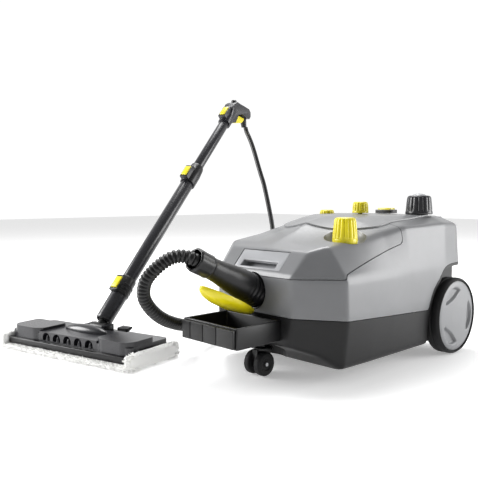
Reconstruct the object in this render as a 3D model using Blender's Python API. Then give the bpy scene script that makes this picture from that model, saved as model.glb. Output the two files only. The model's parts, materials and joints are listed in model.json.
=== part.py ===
"""Canister steam cleaner with its steam hose, wand and floor nozzle.

Machine frame: x = 0 is the middle plane, the rear axle passes over x = y = 0, z = 0 is the
floor and the front faces -Y. Metres throughout. The row's origin is shifted from that frame
by DATUM, so that it lies below the middle of the whole object without its hose.
"""

import math

import bmesh
import bpy
from mathutils import Euler, Matrix, Vector

# ---------------------------------------------------------------- driving dimensions
DATUM = (0.1695, 0.2614, 0.0)  # the machine frame's place in the row frame
GAP = 0.0003  # clearance between pieces that touch
FIT = 0.0004  # radial clearance of a turning or sliding fit
WALL = 0.003  # moulded walls

BODY_HALF_WIDTH = 0.145
AXLE_TO_FRONT = 0.375
AXLE_TO_BACK = 0.045
BELLY_Z = 0.024
SHOULDER_Z = 0.2395  # top edge of the side walls at the back
LIP_Z = 0.2035  # top edge of the hood's front
NOSE_CUT = (0.062, 0.057)  # the front corners' chamfer, across and along
SEAM_FRONT_Z = 0.101  # tub to body seam, at the front corner
SEAM_FALL = 0.0127  # how far that seam drops on its way to the wheel
HOOD_SEAM_Z = 0.1645
HOOD_BACK = 0.152  # hood's rear edge, ahead of the axle
COVER_THICKNESS = 0.0022

WHEEL_RADIUS = 0.070
TYRE_WIDTH = 0.032
TYRE_DEPTH = 0.0055
WHEEL_PROUD = 0.012  # wheel face outside the body's side
AXLE_RADIUS = 0.006
ARCH_CLEARANCE = 0.0065
ARCH_RIM = 0.005

CASTER_RADIUS = 0.0195
CASTER_Y_FROM_FRONT = 0.023
CASTER_TRAIL = 0.009
CASTER_ROOF_Z = 0.056

TRAY_HALF_WIDTH = 0.061
TRAY_LENGTH = 0.093
TRAY_FLOOR_Z = 0.0675
TRAY_TOP_Z = 0.100
TRAY_WALL = 0.0035

PLUG_TILT = math.radians(25.5)  # plug axis above the horizontal
PLUG_RADIUS = 0.0245
PLUG_LENGTH = 0.157
PLUG_SEAT_BACK = 0.020  # socket centre behind the body's front
PLUG_SEAT_Z = 0.130
MOUTH_RADIUS = 0.0188

SLEEVE_RADIUS = 0.0105
HOSE_RADIUS = 0.0055

BOILER_RADIUS = 0.068
BOILER_HEIGHT = 0.130
TANK_WALL = 0.0025
NECK_RADIUS = 0.0165

KNOB_RADIUS = 0.0205
SMALL_KNOB_RADIUS = 0.015
CAP_RADIUS = 0.0250
CAP_HEIGHT = 0.0350

NOZZLE_TURN = math.radians(13.95)
NOZZLE_AHEAD = 0.115  # nozzle centre ahead of the body's front
NOZZLE_ASIDE = 0.177  # and beyond its left side
NOZZLE_LENGTH = 0.310
NOZZLE_DEPTH = 0.116
CLOTH_THICKNESS = 0.010
CLOTH_OVERHANG = 0.0105
BASE_THICKNESS = 0.0115
HOUSING_TOP_Z = 0.045
HOUSING_MIDDLE_Z = 0.040
NOTCH_COUNT = 5
NOTCH_PITCH = 0.0275

PIVOT_BACK = 0.031
PIVOT_Z = 0.040
WAND_TILT = math.radians(45.0)
WAND_LENGTH = 0.660
LOWER_TUBE_RADIUS = 0.0145
UPPER_TUBE_RADIUS = 0.012
TUBE_WALL = 0.0022
NECK_TUBE_RADIUS = 0.0165
LOWER_COUPLING = (0.0753, 0.1165)
MIDDLE_COUPLING = (0.392, 0.447)
GUN_SOCKET = (0.603, 0.645)

# ---------------------------------------------------------------- derived places
FRONT = -AXLE_TO_FRONT
LEFT = -BODY_HALF_WIDTH
NOZZLE_PLACE = (LEFT - NOZZLE_ASIDE, FRONT - NOZZLE_AHEAD)
NOSE_X = BODY_HALF_WIDTH - NOSE_CUT[0]
CORNER_Y = FRONT + NOSE_CUT[1]
WHEEL_FACE_X = BODY_HALF_WIDTH + WHEEL_PROUD
WHEEL_BACK_X = WHEEL_FACE_X - TYRE_WIDTH
HOUSE_X = WHEEL_BACK_X - 0.0045  # outer face of the wheelhouse's inner wall
TOP_RISE = SHOULDER_Z - 0.2395  # how far the top is moved from its usual height
SEAM_REAR_Z = SEAM_FRONT_Z - SEAM_FALL
CASTER_Y = FRONT + CASTER_Y_FROM_FRONT
SEAT = Vector((0.0, FRONT + PLUG_SEAT_BACK, PLUG_SEAT_Z))
PLUG_TURN = Euler((math.pi / 2 - PLUG_TILT, 0.0, 0.0))
BOILER_Y = FRONT + 0.155
BOILER_Z = BELLY_Z + 0.0165
TANK_FRONT = BOILER_Y + BOILER_RADIUS + 0.017
CAP_PLACE = (BODY_HALF_WIDTH - 0.060, -0.020)
KNOB_PLACE = (BODY_HALF_WIDTH - 0.055, FRONT + 0.120)
KNOB_FLOOR_Z = 0.2125 + TOP_RISE
LEFT_KNOB_PLACE = (-0.070, -0.100)
LEFT_KNOB_FLOOR_Z = 0.2420 + TOP_RISE
MIDDLE_KNOB_PLACE = (0.012, -0.104)
SWITCH_PLACE = (0.020, -0.030)
GLAND_Z = WHEEL_RADIUS - 0.012


# ---------------------------------------------------------------- finishes
def srgb(code):
    """Linear RGB of a hex colour."""
    parts = [int(code[i : i + 2], 16) / 255 for i in (0, 2, 4)]
    return [p / 12.92 if p <= 0.04045 else ((p + 0.055) / 1.055) ** 2.4 for p in parts]


def finish(name, code, roughness, metallic=0.0):
    material = bpy.data.materials.new(name)
    material.use_nodes = True
    shader = material.node_tree.nodes["Principled BSDF"]
    shader.inputs["Base Color"].default_value = (*srgb(code), 1.0)
    shader.inputs["Roughness"].default_value = roughness
    shader.inputs["Metallic"].default_value = metallic
    material.diffuse_color = (*srgb(code), 1.0)
    return material


COLOURS = {
    "grey": ("8c8c8c", 0.42, 0.0),
    "light_grey": ("b9b9b9", 0.40, 0.0),
    "black": ("1d1d1f", 0.45, 0.0),
    "dark": ("303033", 0.40, 0.0),
    "yellow": ("efe02c", 0.40, 0.0),
    "rubber": ("161616", 0.80, 0.0),
    "steel": ("c0c2c4", 0.30, 1.0),
    "brass": ("c9a24b", 0.35, 1.0),
    "cloth": ("f1f1f1", 0.95, 0.0),
    "tank": ("d8dde0", 0.35, 0.0),
    "board": ("2f6b3c", 0.60, 0.0),
}


# ---------------------------------------------------------------- shape helpers
def clear_scene():
    for old in list(bpy.data.objects):
        bpy.data.objects.remove(old, do_unlink=True)


def empty(name, place=(0, 0, 0), turn=None, parent=None):
    """A frame that pieces hang on; a joint's frame has its Z along the joint's axis."""
    datum = bpy.data.objects.new(name, None)
    bpy.context.scene.collection.objects.link(datum)
    datum.location = place
    if turn is not None:
        datum.rotation_euler = turn
    datum.parent = parent
    datum.empty_display_size = 0.02
    return datum


def add(name, shape, parent, colour=None, smooth=False, place=(0, 0, 0), turn=None):
    """A mesh object from a bmesh; without a colour it is a hidden cutter."""
    bmesh.ops.recalc_face_normals(shape, faces=shape.faces)
    mesh = bpy.data.meshes.new(name)
    shape.to_mesh(mesh)
    shape.free()
    obj = bpy.data.objects.new(name, mesh)
    bpy.context.scene.collection.objects.link(obj)
    obj.parent = parent
    obj.location = place
    if turn is not None:
        obj.rotation_euler = turn
    if colour is None:
        obj.hide_render = True
        obj.display_type = "WIRE"
        return obj
    if smooth:
        mesh.shade_smooth()
        mesh.set_sharp_from_angle(angle=math.radians(35))
    code, roughness, metallic = COLOURS[colour]
    mesh.materials.append(finish(name, code, roughness, metallic))
    return obj


def boolean(obj, cutter, operation="DIFFERENCE"):
    modifier = obj.modifiers.new(cutter.name, "BOOLEAN")
    modifier.operation = operation
    modifier.object = cutter
    modifier.solver = "EXACT"
    return obj


def loft(rings, split=False):
    """A closed solid through rings of the same number of points.

    split cuts each four-sided face along the same diagonal, so that lofts which differ by an
    offset stay alike.
    """
    shape = bmesh.new()
    made = [[shape.verts.new(point) for point in ring] for ring in rings]
    count = len(rings[0])
    for near, far in zip(made, made[1:]):
        for i in range(count):
            j = (i + 1) % count
            if split:
                shape.faces.new((near[i], near[j], far[j]))
                shape.faces.new((near[i], far[j], far[i]))
            else:
                shape.faces.new((near[i], near[j], far[j], far[i]))
    shape.faces.new(made[0][::-1])
    shape.faces.new(made[-1])
    return shape


def prism(outline, low, high, axis="z"):
    """A polygon carried from low to high along an axis; the outline's pairs are the other two."""
    order = {"x": lambda a, b, c: (c, a, b), "y": lambda a, b, c: (a, c, b), "z": lambda a, b, c: (a, b, c)}
    place = order[axis]
    return loft([[place(a, b, c) for a, b in outline] for c in (low, high)])


def box(low, high):
    (x0, y0, z0), (x1, y1, z1) = low, high
    return prism([(x0, y0), (x1, y0), (x1, y1), (x0, y1)], z0, z1)


def merge(shapes):
    """Several separate solids in one bmesh, for a cutter."""
    whole = bmesh.new()
    for shape in shapes:
        mesh = bpy.data.meshes.new("part")
        shape.to_mesh(mesh)
        shape.free()
        whole.from_mesh(mesh)
        bpy.data.meshes.remove(mesh)
    return whole


def turned(profile, steps=24, radius_at=None):
    """A profile of (radius, height) pairs turned about Z. Ends at radius 0 are poles.

    A profile with no point on the axis is closed on itself, as a ring. radius_at may change
    the radius with the angle, as fluting does.
    """
    shape = bmesh.new()
    rings = []
    for radius, height in profile:
        if radius == 0:
            rings.append([shape.verts.new((0, 0, height))])
            continue
        ring = []
        for i in range(steps):
            angle = 2 * math.pi * i / steps
            r = radius_at(radius, i) if radius_at else radius
            ring.append(shape.verts.new((r * math.cos(angle), r * math.sin(angle), height)))
        rings.append(ring)
    closed = profile[0][0] != 0
    for a, b in zip(rings, rings[1:] + rings[:1] if closed else rings[1:]):
        for i in range(steps):
            j = (i + 1) % steps
            corners = [a[i % len(a)], a[j % len(a)], b[j % len(b)], b[i % len(b)]]
            unique = list(dict.fromkeys(corners))
            if len(unique) > 2:
                shape.faces.new(unique)
    return shape


def rod(radius, low, high, steps=24):
    return turned([(0, low), (radius, low), (radius, high), (0, high)], steps)


def pipe(outer, inner, low, high, steps=24):
    return turned([(outer, low), (outer, high), (inner, high), (inner, low)], steps)


def fluted(profile, flutes, depth):
    """A grip with square flutes: every other pair of points is pulled in."""
    return turned(profile, 4 * flutes, lambda r, i: r - depth if i % 4 > 1 and r > 0.012 else r)


ALONG_X = Euler((0.0, math.pi / 2, 0.0))


# ---------------------------------------------------------------- body form
def body_stations(inset=0.0, lift=0.0):
    """Cross-sections of the machine's body from front to back, as half outlines.

    Each holds y and the outline's points (x, z): bottom edge, seam, waist, shoulder edge,
    plateau edge and crown. inset moves every wall inwards, lift raises the top.
    """
    w = BODY_HALF_WIDTH
    rise = TOP_RISE
    lip = LIP_Z
    low = BELLY_Z
    waist = HOOD_SEAM_Z
    seam = SEAM_FRONT_Z
    lip_back = 0.033
    on_cut = NOSE_X + lip_back * NOSE_CUT[0] / NOSE_CUT[1]
    rows = [
        (FRONT, (NOSE_X - 0.006, low + 0.036), (NOSE_X, seam), (NOSE_X - 0.001, waist),
         (NOSE_X - 0.003, lip - 0.036), (NOSE_X - 0.030, lip - 0.0355), (0, lip - 0.0355)),
        (FRONT + lip_back, (on_cut - 0.006, low + 0.021), (on_cut, seam), (on_cut - 0.003, waist),
         (on_cut - 0.034, lip - 0.0005), (NOSE_X - 0.030, lip), (0, lip + 0.0005)),
        (CORNER_Y, (w - 0.009, low), (w, seam), (w - 0.003, waist),
         (w - 0.039, lip + 0.0085), (w - 0.085, lip + 0.0085), (0, lip + 0.0110)),
        (FRONT + 0.125, (w - 0.007, low), (w, seam), (w - 0.002, waist),
         (w - 0.032, lip + 0.0165 + rise), (w - 0.085, lip + 0.0225 + rise), (0, lip + 0.038 + rise)),
        (FRONT + 0.185, (w - 0.007, low), (w, seam), (w - 0.002, waist),
         (w - 0.026, SHOULDER_Z - 0.0095), (w - 0.090, SHOULDER_Z + 0.008), (0, SHOULDER_Z + 0.0125)),
        (-HOOD_BACK + 0.012, (w - 0.007, low), (w - 0.001, seam), (w - 0.003, waist),
         (w - 0.014, SHOULDER_Z - 0.001), (w - 0.075, SHOULDER_Z + 0.0135), (0, SHOULDER_Z + 0.0152)),
        (-0.020, (w - 0.008, low), (w - 0.002, seam), (w - 0.003, waist),
         (w - 0.008, SHOULDER_Z), (w - 0.035, SHOULDER_Z + 0.013), (0, SHOULDER_Z + 0.0145)),
        (AXLE_TO_BACK - 0.015, (w - 0.011, low), (w - 0.005, seam), (w - 0.006, waist),
         (w - 0.010, SHOULDER_Z - 0.0015), (w - 0.037, SHOULDER_Z + 0.009), (0, SHOULDER_Z + 0.0095)),
        (AXLE_TO_BACK, (w - 0.017, low + 0.006), (w - 0.010, seam), (w - 0.011, waist),
         (w - 0.019, SHOULDER_Z - 0.0075), (w - 0.045, SHOULDER_Z + 0.0015), (0, SHOULDER_Z + 0.002)),
    ]
    stations = []
    for index, (y, bottom, *sides, shoulder, plateau, crown) in enumerate(rows):
        shift = inset if index == 0 else -inset if index == len(rows) - 1 else 0.0
        half = [(bottom[0] - inset, bottom[1] + inset)]
        half += [(x - inset, z) for x, z in sides]
        half += [(x - inset, z - 1.15 * inset + lift) for x, z in (shoulder, plateau)]
        half.append((0.0, crown[1] - 1.15 * inset + lift))
        stations.append((y + shift, half))
    return stations


def body_form(inset=0.0, lift=0.0):
    rings = []
    for y, half in body_stations(inset, lift):
        right = [(x, y, z) for x, z in half]
        left = [(-x, y, z) for x, z in half[-2::-1]]
        rings.append(right + left)
    return loft(rings, split=True)


def arch_outline(clearance):
    """The wheel arch's front and top in y and z, that far outside the wheel's own clearance."""
    reach = WHEEL_RADIUS + ARCH_CLEARANCE + clearance
    turn = [math.radians(a) for a in (180, 162, 145, 128)]
    arc = [(reach * math.cos(a), WHEEL_RADIUS + reach * math.sin(a)) for a in turn]
    top = WHEEL_RADIUS + reach + 0.0135
    return arc + [(-0.022, top - 0.006), (0.004, top), (1.0, top + 0.004)]


def seam_outline(clearance=0.0):
    """Polygon above the seam between the tub and the body, in y and z."""
    arch = [p for p in arch_outline(ARCH_RIM) if p[1] > SEAM_REAR_Z]
    slope = SEAM_FALL / (CORNER_Y - arch[0][0])
    start = (-1.0, SEAM_FRONT_Z + slope * (-1.0 - CORNER_Y))
    foot = (arch[0][0] - 0.004, SEAM_REAR_Z)
    points = [start, foot] + arch + [(1.0, 1.0), (-1.0, 1.0)]
    lift = clearance * 1.2
    lower = [(y - (clearance if 1 < i < len(points) - 3 else 0), z + lift) for i, (y, z) in enumerate(points)]
    return lower


def hood_outline(clearance=0.0):
    """Polygon that holds the hood, in y and z."""
    c = clearance
    return [
        (-1.0, HOOD_SEAM_Z - c),
        (CORNER_Y + c, HOOD_SEAM_Z - c),
        (CORNER_Y + 0.005 + c, HOOD_SEAM_Z + 0.007 - c),
        (-HOOD_BACK - 0.005 + c, SHOULDER_Z - 0.0295 - c),
        (-HOOD_BACK + c, SHOULDER_Z - 0.0245 - c),
        (-HOOD_BACK + c, 1.0),
        (-1.0, 1.0),
    ]


def cover_outline():
    """Plan of the raised cover: straight sides and an arched front."""
    half = BODY_HALF_WIDTH - 0.041
    back = AXLE_TO_BACK - 0.010
    front = FRONT + 0.130
    side = -HOOD_BACK - 0.002
    arch = []
    for step in range(9):
        angle = math.pi * step / 8
        arch.append((half * math.cos(angle), side - (side - front) * math.sin(angle) ** 0.9))
    return [(half, back)] + arch + [(-half, back)]


# ---------------------------------------------------------------- machine
def make_cutters(machine):
    """The hidden solids that shape the tub, the body, the hood and the cover."""
    wide = BODY_HALF_WIDTH + 0.1
    cut = {}
    cut["cavity"] = add("cut_cavity", body_form(inset=WALL), machine)
    house = []
    arch = []
    for side in (-1, 1):
        inner = sorted((side * (HOUSE_X - WALL), side * wide))
        house.append(prism(arch_outline(WALL) + [(1.0, -0.1), (arch_outline(WALL)[0][0], -0.1)], *inner, "x"))
        outer = sorted((side * HOUSE_X, side * wide))
        arch.append(prism(arch_outline(0) + [(1.0, -0.1), (arch_outline(0)[0][0], -0.1)], *outer, "x"))
    cut["house"] = add("cut_wheelhouse", merge(house), machine)
    cut["arch"] = add("cut_arch", merge(arch), machine)
    cut["pocket_wall"] = add("cut_caster_boss", rod(0.043, -0.1, CASTER_ROOF_Z + WALL), machine,
                             place=(0, CASTER_Y, 0))
    cut["pocket"] = add("cut_caster_pocket", rod(0.040, -0.1, CASTER_ROOF_Z), machine,
                        place=(0, CASTER_Y, 0))
    cut["knob_boss"] = add("cut_knob_boss", rod(0.037, KNOB_FLOOR_Z - WALL, 0.3), machine,
                           place=(*KNOB_PLACE, 0))
    cut["knob_pocket"] = add("cut_knob_pocket", turned(
        [(0, KNOB_FLOOR_Z), (0.026, KNOB_FLOOR_Z), (0.034, KNOB_FLOOR_Z + 0.008), (0.040, 0.3), (0, 0.3)]),
        machine, place=(*KNOB_PLACE, 0))
    cut["left_boss"] = add("cut_left_boss", rod(0.022, LEFT_KNOB_FLOOR_Z - WALL, 0.3), machine,
                           place=(*LEFT_KNOB_PLACE, 0))
    cut["left_pocket"] = add("cut_left_pocket", rod(0.019, LEFT_KNOB_FLOOR_Z, 0.3), machine,
                             place=(*LEFT_KNOB_PLACE, 0))
    for name in ("house", "pocket_wall", "knob_boss", "left_boss"):
        boolean(cut["cavity"], cut[name])
    cut["above_seam"] = add("cut_above_seam", prism(seam_outline(), -wide, wide, "x"), machine)
    cut["above_seam_gap"] = add("cut_above_seam_gap", prism(seam_outline(GAP * 2), -wide, wide, "x"), machine)
    cut["hood_space"] = add("cut_hood_space", prism(hood_outline(), -wide, wide, "x"), machine)
    cut["hood_gap"] = add("cut_hood_gap", prism(hood_outline(GAP * 2), -wide, wide, "x"), machine)
    cut["socket_hole"] = add("cut_socket_hole", rod(PLUG_RADIUS + 0.0030, -0.06, 0.1, 24), machine,
                             place=SEAT, turn=PLUG_TURN)
    cut["axle_hole"] = add("cut_axle_hole", rod(AXLE_RADIUS + FIT, -wide, wide, 16), machine,
                           place=(0, 0, WHEEL_RADIUS), turn=ALONG_X)
    stem_hole = rod(0.006 + FIT, -0.1, CASTER_ROOF_Z + 0.02, 20)
    cut["stem_hole"] = add("cut_stem_hole", stem_hole, machine, place=(0, CASTER_Y, 0))
    cut["neck_hole"] = add("cut_neck_hole", rod(NECK_RADIUS + FIT, 0.2, 0.4, 32), machine,
                           place=(*CAP_PLACE, 0))
    return cut


def build_body(machine, cut):
    tub = add("lower_tub", body_form(), machine, "black")
    for name in ("cavity", "above_seam", "arch", "pocket", "stem_hole", "axle_hole"):
        boolean(tub, cut[name])
    gland_hole = add("cut_gland_hole", rod(0.0075, -0.03, 0.03, 20), machine,
                     place=(-0.060, AXLE_TO_BACK, GLAND_Z), turn=Euler((-math.pi / 2, 0, 0)))
    boolean(tub, gland_hole)

    shell = add("body_shell", body_form(), machine, "grey")
    for name in ("cavity",):
        boolean(shell, cut[name])
    boolean(shell, cut["above_seam_gap"], "INTERSECT")
    for name in ("hood_gap", "socket_hole", "left_pocket", "neck_hole"):
        boolean(shell, cut[name])
    stems = [(MIDDLE_KNOB_PLACE, 0.0045), (LEFT_KNOB_PLACE, 0.0045)]
    stem_cut = merge([turned_at(rod(radius, 0.2, 0.4, 16), place) for place, radius in stems])
    cut["stems"] = add("cut_knob_stems", stem_cut, machine)
    boolean(shell, cut["stems"])

    hood = add("hood", body_form(), machine, "grey")
    boolean(hood, cut["cavity"])
    boolean(hood, cut["hood_space"], "INTERSECT")
    boolean(hood, cut["socket_hole"])
    boolean(hood, cut["knob_pocket"])
    boolean(hood, add("cut_knob_stem", rod(0.0045, 0.15, 0.3, 16), machine, place=(*KNOB_PLACE, 0)))

    cover = add("top_cover", body_form(lift=COVER_THICKNESS + GAP), machine, "light_grey")
    boolean(cover, add("cut_cover_plan", prism(cover_outline(), 0.19, 0.4), machine), "INTERSECT")
    boolean(cover, add("cut_cover_under", body_form(lift=GAP), machine))
    for name in ("left_pocket", "neck_hole", "stems"):
        boolean(cover, cut[name])
    return hood


def turned_at(shape, place):
    bmesh.ops.translate(shape, verts=shape.verts, vec=(*place, 0.0))
    return shape


def build_carry_handle(machine, hood):
    """The light frame in the hood's sloping front, with its finger recess."""
    slope = math.atan2(0.0355, 0.033)
    middle = (0, FRONT + 0.0165, LIP_Z - 0.0178)
    frame = empty("handle_frame", middle, Euler((slope, 0, 0)), machine)
    # In this frame Y runs up the slope and Z points out of it.
    half, low, high, depth = 0.052, -0.016, 0.0215, 0.018
    opening = add("cut_handle_opening", box((-half - GAP, low - GAP, -0.04), (half + GAP, high + GAP, 0.04)), frame)
    boolean(hood, opening)
    handle = add("carry_handle", box((-half, low, -depth), (half, high, -0.0004)), frame, "light_grey")
    slot = box((-0.038, low + 0.004, -depth + 0.0025), (0.038, low + 0.0165, 0.01))
    behind = box((-0.038, low + 0.010, -depth + 0.0025), (0.038, high - 0.0025, -0.0085))
    boolean(handle, add("cut_handle_slot", slot, frame))
    boolean(handle, add("cut_handle_behind", behind, frame))


def build_tray(machine):
    front = FRONT - TRAY_LENGTH
    half = TRAY_HALF_WIDTH
    tray = add("front_tray", box((-half, front, TRAY_FLOOR_Z), (half, FRONT - GAP, TRAY_TOP_Z)), machine, "black")
    inner = box((-half + TRAY_WALL, front + TRAY_WALL, TRAY_FLOOR_Z + 0.004),
                (half - TRAY_WALL, FRONT - TRAY_WALL - GAP, 0.2))
    boolean(tray, add("cut_tray", inner, machine))
    pad = add("bumper_pad", box((-half + 0.003, front - 0.0055, TRAY_FLOOR_Z + 0.002),
                                (half - 0.003, front - GAP, TRAY_TOP_Z - 0.003)), machine, "rubber")
    grooves = []
    for x in (-0.0385, -0.0085, 0.0215):
        groove = box((x - 0.0009, front - 0.01, 0.05), (x + 0.0009, front - 0.0040, 0.15))
        grooves.append(groove)
    boolean(pad, add("cut_grooves", merge(grooves), machine))


def build_wheels(machine):
    tyre_inner = WHEEL_RADIUS - TYRE_DEPTH
    half = TYRE_WIDTH / 2
    tread = [(tyre_inner, -half + 0.002), (WHEEL_RADIUS - 0.004, -half), (WHEEL_RADIUS, -half + 0.004),
             (WHEEL_RADIUS, half - 0.004), (WHEEL_RADIUS - 0.004, half), (tyre_inner, half - 0.002)]
    rim = tyre_inner - GAP
    bore = AXLE_RADIUS + FIT
    hub = [(0, half - 0.006), (bore, half - 0.006), (bore, -half + 0.003), (0.016, -half + 0.003),
           (0.016, -0.004), (rim - 0.006, -0.004), (rim - 0.004, -half + 0.003), (rim, -half + 0.003),
           (rim, half - 0.003), (rim - 0.006, half - 0.0015), (0.020, half - 0.0005), (0, half - 0.0005)]
    for name, side in (("left", -1), ("right", 1)):
        centre = (side * (WHEEL_FACE_X - half), 0, WHEEL_RADIUS)
        spin = empty(f"axis_wheel_{name}", centre, Euler((0, side * math.pi / 2, 0)), machine)
        add(f"tyre_{name}", turned(tread, 32), spin, "rubber", True)
        wheel = add(f"hub_{name}", turned(hub, 32), spin, "light_grey", True)
        pockets = []
        for i in range(3):
            angle = math.radians(90 + 120 * i)
            pocket = rod(0.0135, half - 0.006, half + 0.01, 12)
            bmesh.ops.scale(pocket, verts=pocket.verts, vec=(0.62, 1.35, 1.0))
            bmesh.ops.translate(pocket, verts=pocket.verts, vec=(0.036, 0, 0))
            bmesh.ops.rotate(pocket, verts=pocket.verts, matrix=Matrix.Rotation(angle, 3, "Z"))
            pockets.append(pocket)
        boolean(wheel, add(f"cut_pockets_{name}", merge(pockets), spin))
    axle_end = WHEEL_FACE_X - 0.0062
    add("rear_axle", rod(AXLE_RADIUS, -axle_end, axle_end, 24), machine, "steel", True,
        place=(0, 0, WHEEL_RADIUS), turn=ALONG_X)


def build_caster(machine):
    swivel = empty("axis_caster_swivel", (0, CASTER_Y, 0), None, machine)
    wheel_axis = empty("axis_caster_wheel", (0, -CASTER_TRAIL, CASTER_RADIUS), ALONG_X, swivel)
    top = CASTER_ROOF_Z - 0.0118
    stem = [(0, top - 0.004), (0.0155, top - 0.004), (0.0155, top), (0.006, top + 0.001), (0.006, CASTER_ROOF_Z + WALL + 0.0006),
            (0.009, CASTER_ROOF_Z + WALL + 0.0006), (0.009, CASTER_ROOF_Z + WALL + 0.004), (0, CASTER_ROOF_Z + WALL + 0.006)]
    fork = add("caster_fork", turned(stem, 20), swivel, "black", True)
    web = box((-0.0055, -CASTER_TRAIL - 0.010, CASTER_RADIUS - 0.006), (0.0055, 0.012, top - 0.002))
    boolean(fork, add("join_caster_web", web, swivel), "UNION")
    boolean(fork, add("cut_caster_axle", rod(0.003 + FIT, -0.03, 0.03, 16), wheel_axis))
    add("caster_axle", rod(0.003, -0.0182, 0.0182, 16), wheel_axis, "steel", True)
    r = CASTER_RADIUS
    tread = [(0.003 + FIT, 0.006), (r - 0.002, 0.006), (r, 0.008), (r, 0.0155), (r - 0.002, 0.0176), (0.003 + FIT, 0.0176)]
    for name, side in (("left", -1), ("right", 1)):
        shape = turned([(radius, side * height) for radius, height in tread], 24)
        add(f"caster_wheel_{name}", shape, wheel_axis, "rubber", True)


def build_top_controls(machine):
    knob = empty("axis_knob_right", (*KNOB_PLACE, KNOB_FLOOR_Z + GAP), None, machine)
    r = KNOB_RADIUS
    grip = [(0, -0.012), (0.004, -0.012), (0.004, 0), (r, 0), (r, 0.007), (r - 0.002, 0.008), (r - 0.0035, 0.040),
            (r - 0.006, 0.0425), (0, 0.0425)]
    add("knob_right", fluted(grip, 12, 0.0016), knob, "yellow", True)
    s = SMALL_KNOB_RADIUS
    small = [(0, -0.009), (0.004, -0.009), (0.004, 0), (s, 0), (s - 0.001, 0.019), (s - 0.003, 0.021), (0, 0.021)]
    middle_z = SHOULDER_Z + 0.0162 + COVER_THICKNESS + 2 * GAP
    for name, place, z in (("knob_middle", MIDDLE_KNOB_PLACE, middle_z),
                           ("knob_left", LEFT_KNOB_PLACE, LEFT_KNOB_FLOOR_Z + GAP)):
        axis = empty(f"axis_{name}", (*place, z), None, machine)
        add(name, fluted(small, 10, 0.0012), axis, "yellow", True)

    base_z = SHOULDER_Z + 0.0148 + COVER_THICKNESS + 2 * GAP
    seat = empty("switch_seat", (*SWITCH_PLACE, base_z), None, machine)
    surround = add("switch_frame", box((-0.017, -0.012, 0), (0.017, 0.012, 0.0065)), seat, "black")
    boolean(surround, add("cut_switch", box((-0.0145, -0.0095, 0.0015), (0.0145, 0.0095, 0.02)), seat))
    pivot = empty("axis_rocker", (0, 0, 0.0062), Euler((0, math.pi / 2, 0)), seat)
    rocker = [(-0.0035, -0.0085), (0.0010, -0.0088), (0.0040, -0.0080), (0.0022, 0.0), (0.0040, 0.0080),
              (0.0010, 0.0088), (-0.0035, 0.0085)]
    rocker_shape = prism([(-a, b) for a, b in rocker], -0.0140, 0.0140)
    add("power_rocker", rocker_shape, pivot, "yellow")


def build_cap(machine):
    top_z = SHOULDER_Z + 0.0165
    place = (*CAP_PLACE, 0)
    neck_low = SHOULDER_Z - 0.0110
    add("filler_neck", pipe(NECK_RADIUS, NECK_RADIUS - WALL, neck_low, top_z + 0.0045, 32), machine, "black", True, place)
    lift = empty("axis_cap_lift", place, None, machine)
    stem_r = NECK_RADIUS - WALL - 0.0005
    add("cap_stem", rod(stem_r, neck_low + 0.006, top_z + 0.0058, 28), lift, "rubber", True)
    turn = empty("axis_cap_turn", (0, 0, top_z), None, lift)
    r, h = CAP_RADIUS, CAP_HEIGHT
    grip = [(0, 0), (r, 0), (r, 0.005), (r - 0.001, 0.006), (r - 0.0025, h - 0.0025), (r - 0.005, h), (0, h)]
    cap = add("cap_grip", fluted(grip, 12, 0.0014), turn, "black", True)
    boolean(cap, add("cut_cap_bore", rod(NECK_RADIUS + 0.0012, -0.01, 0.0061, 32), turn))
    boolean(cap, add("cut_cap_seat", rod(0.0135, h - 0.0015, 0.06, 28), turn))
    lens = [(0, h - 0.0012), (0.0132, h - 0.0012), (0.0132, h + 0.0002), (0.010, h + 0.0022), (0.005, h + 0.0035),
            (0, h + 0.0038)]
    add("cap_dome", turned(lens, 28), turn, "light_grey", True)


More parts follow.
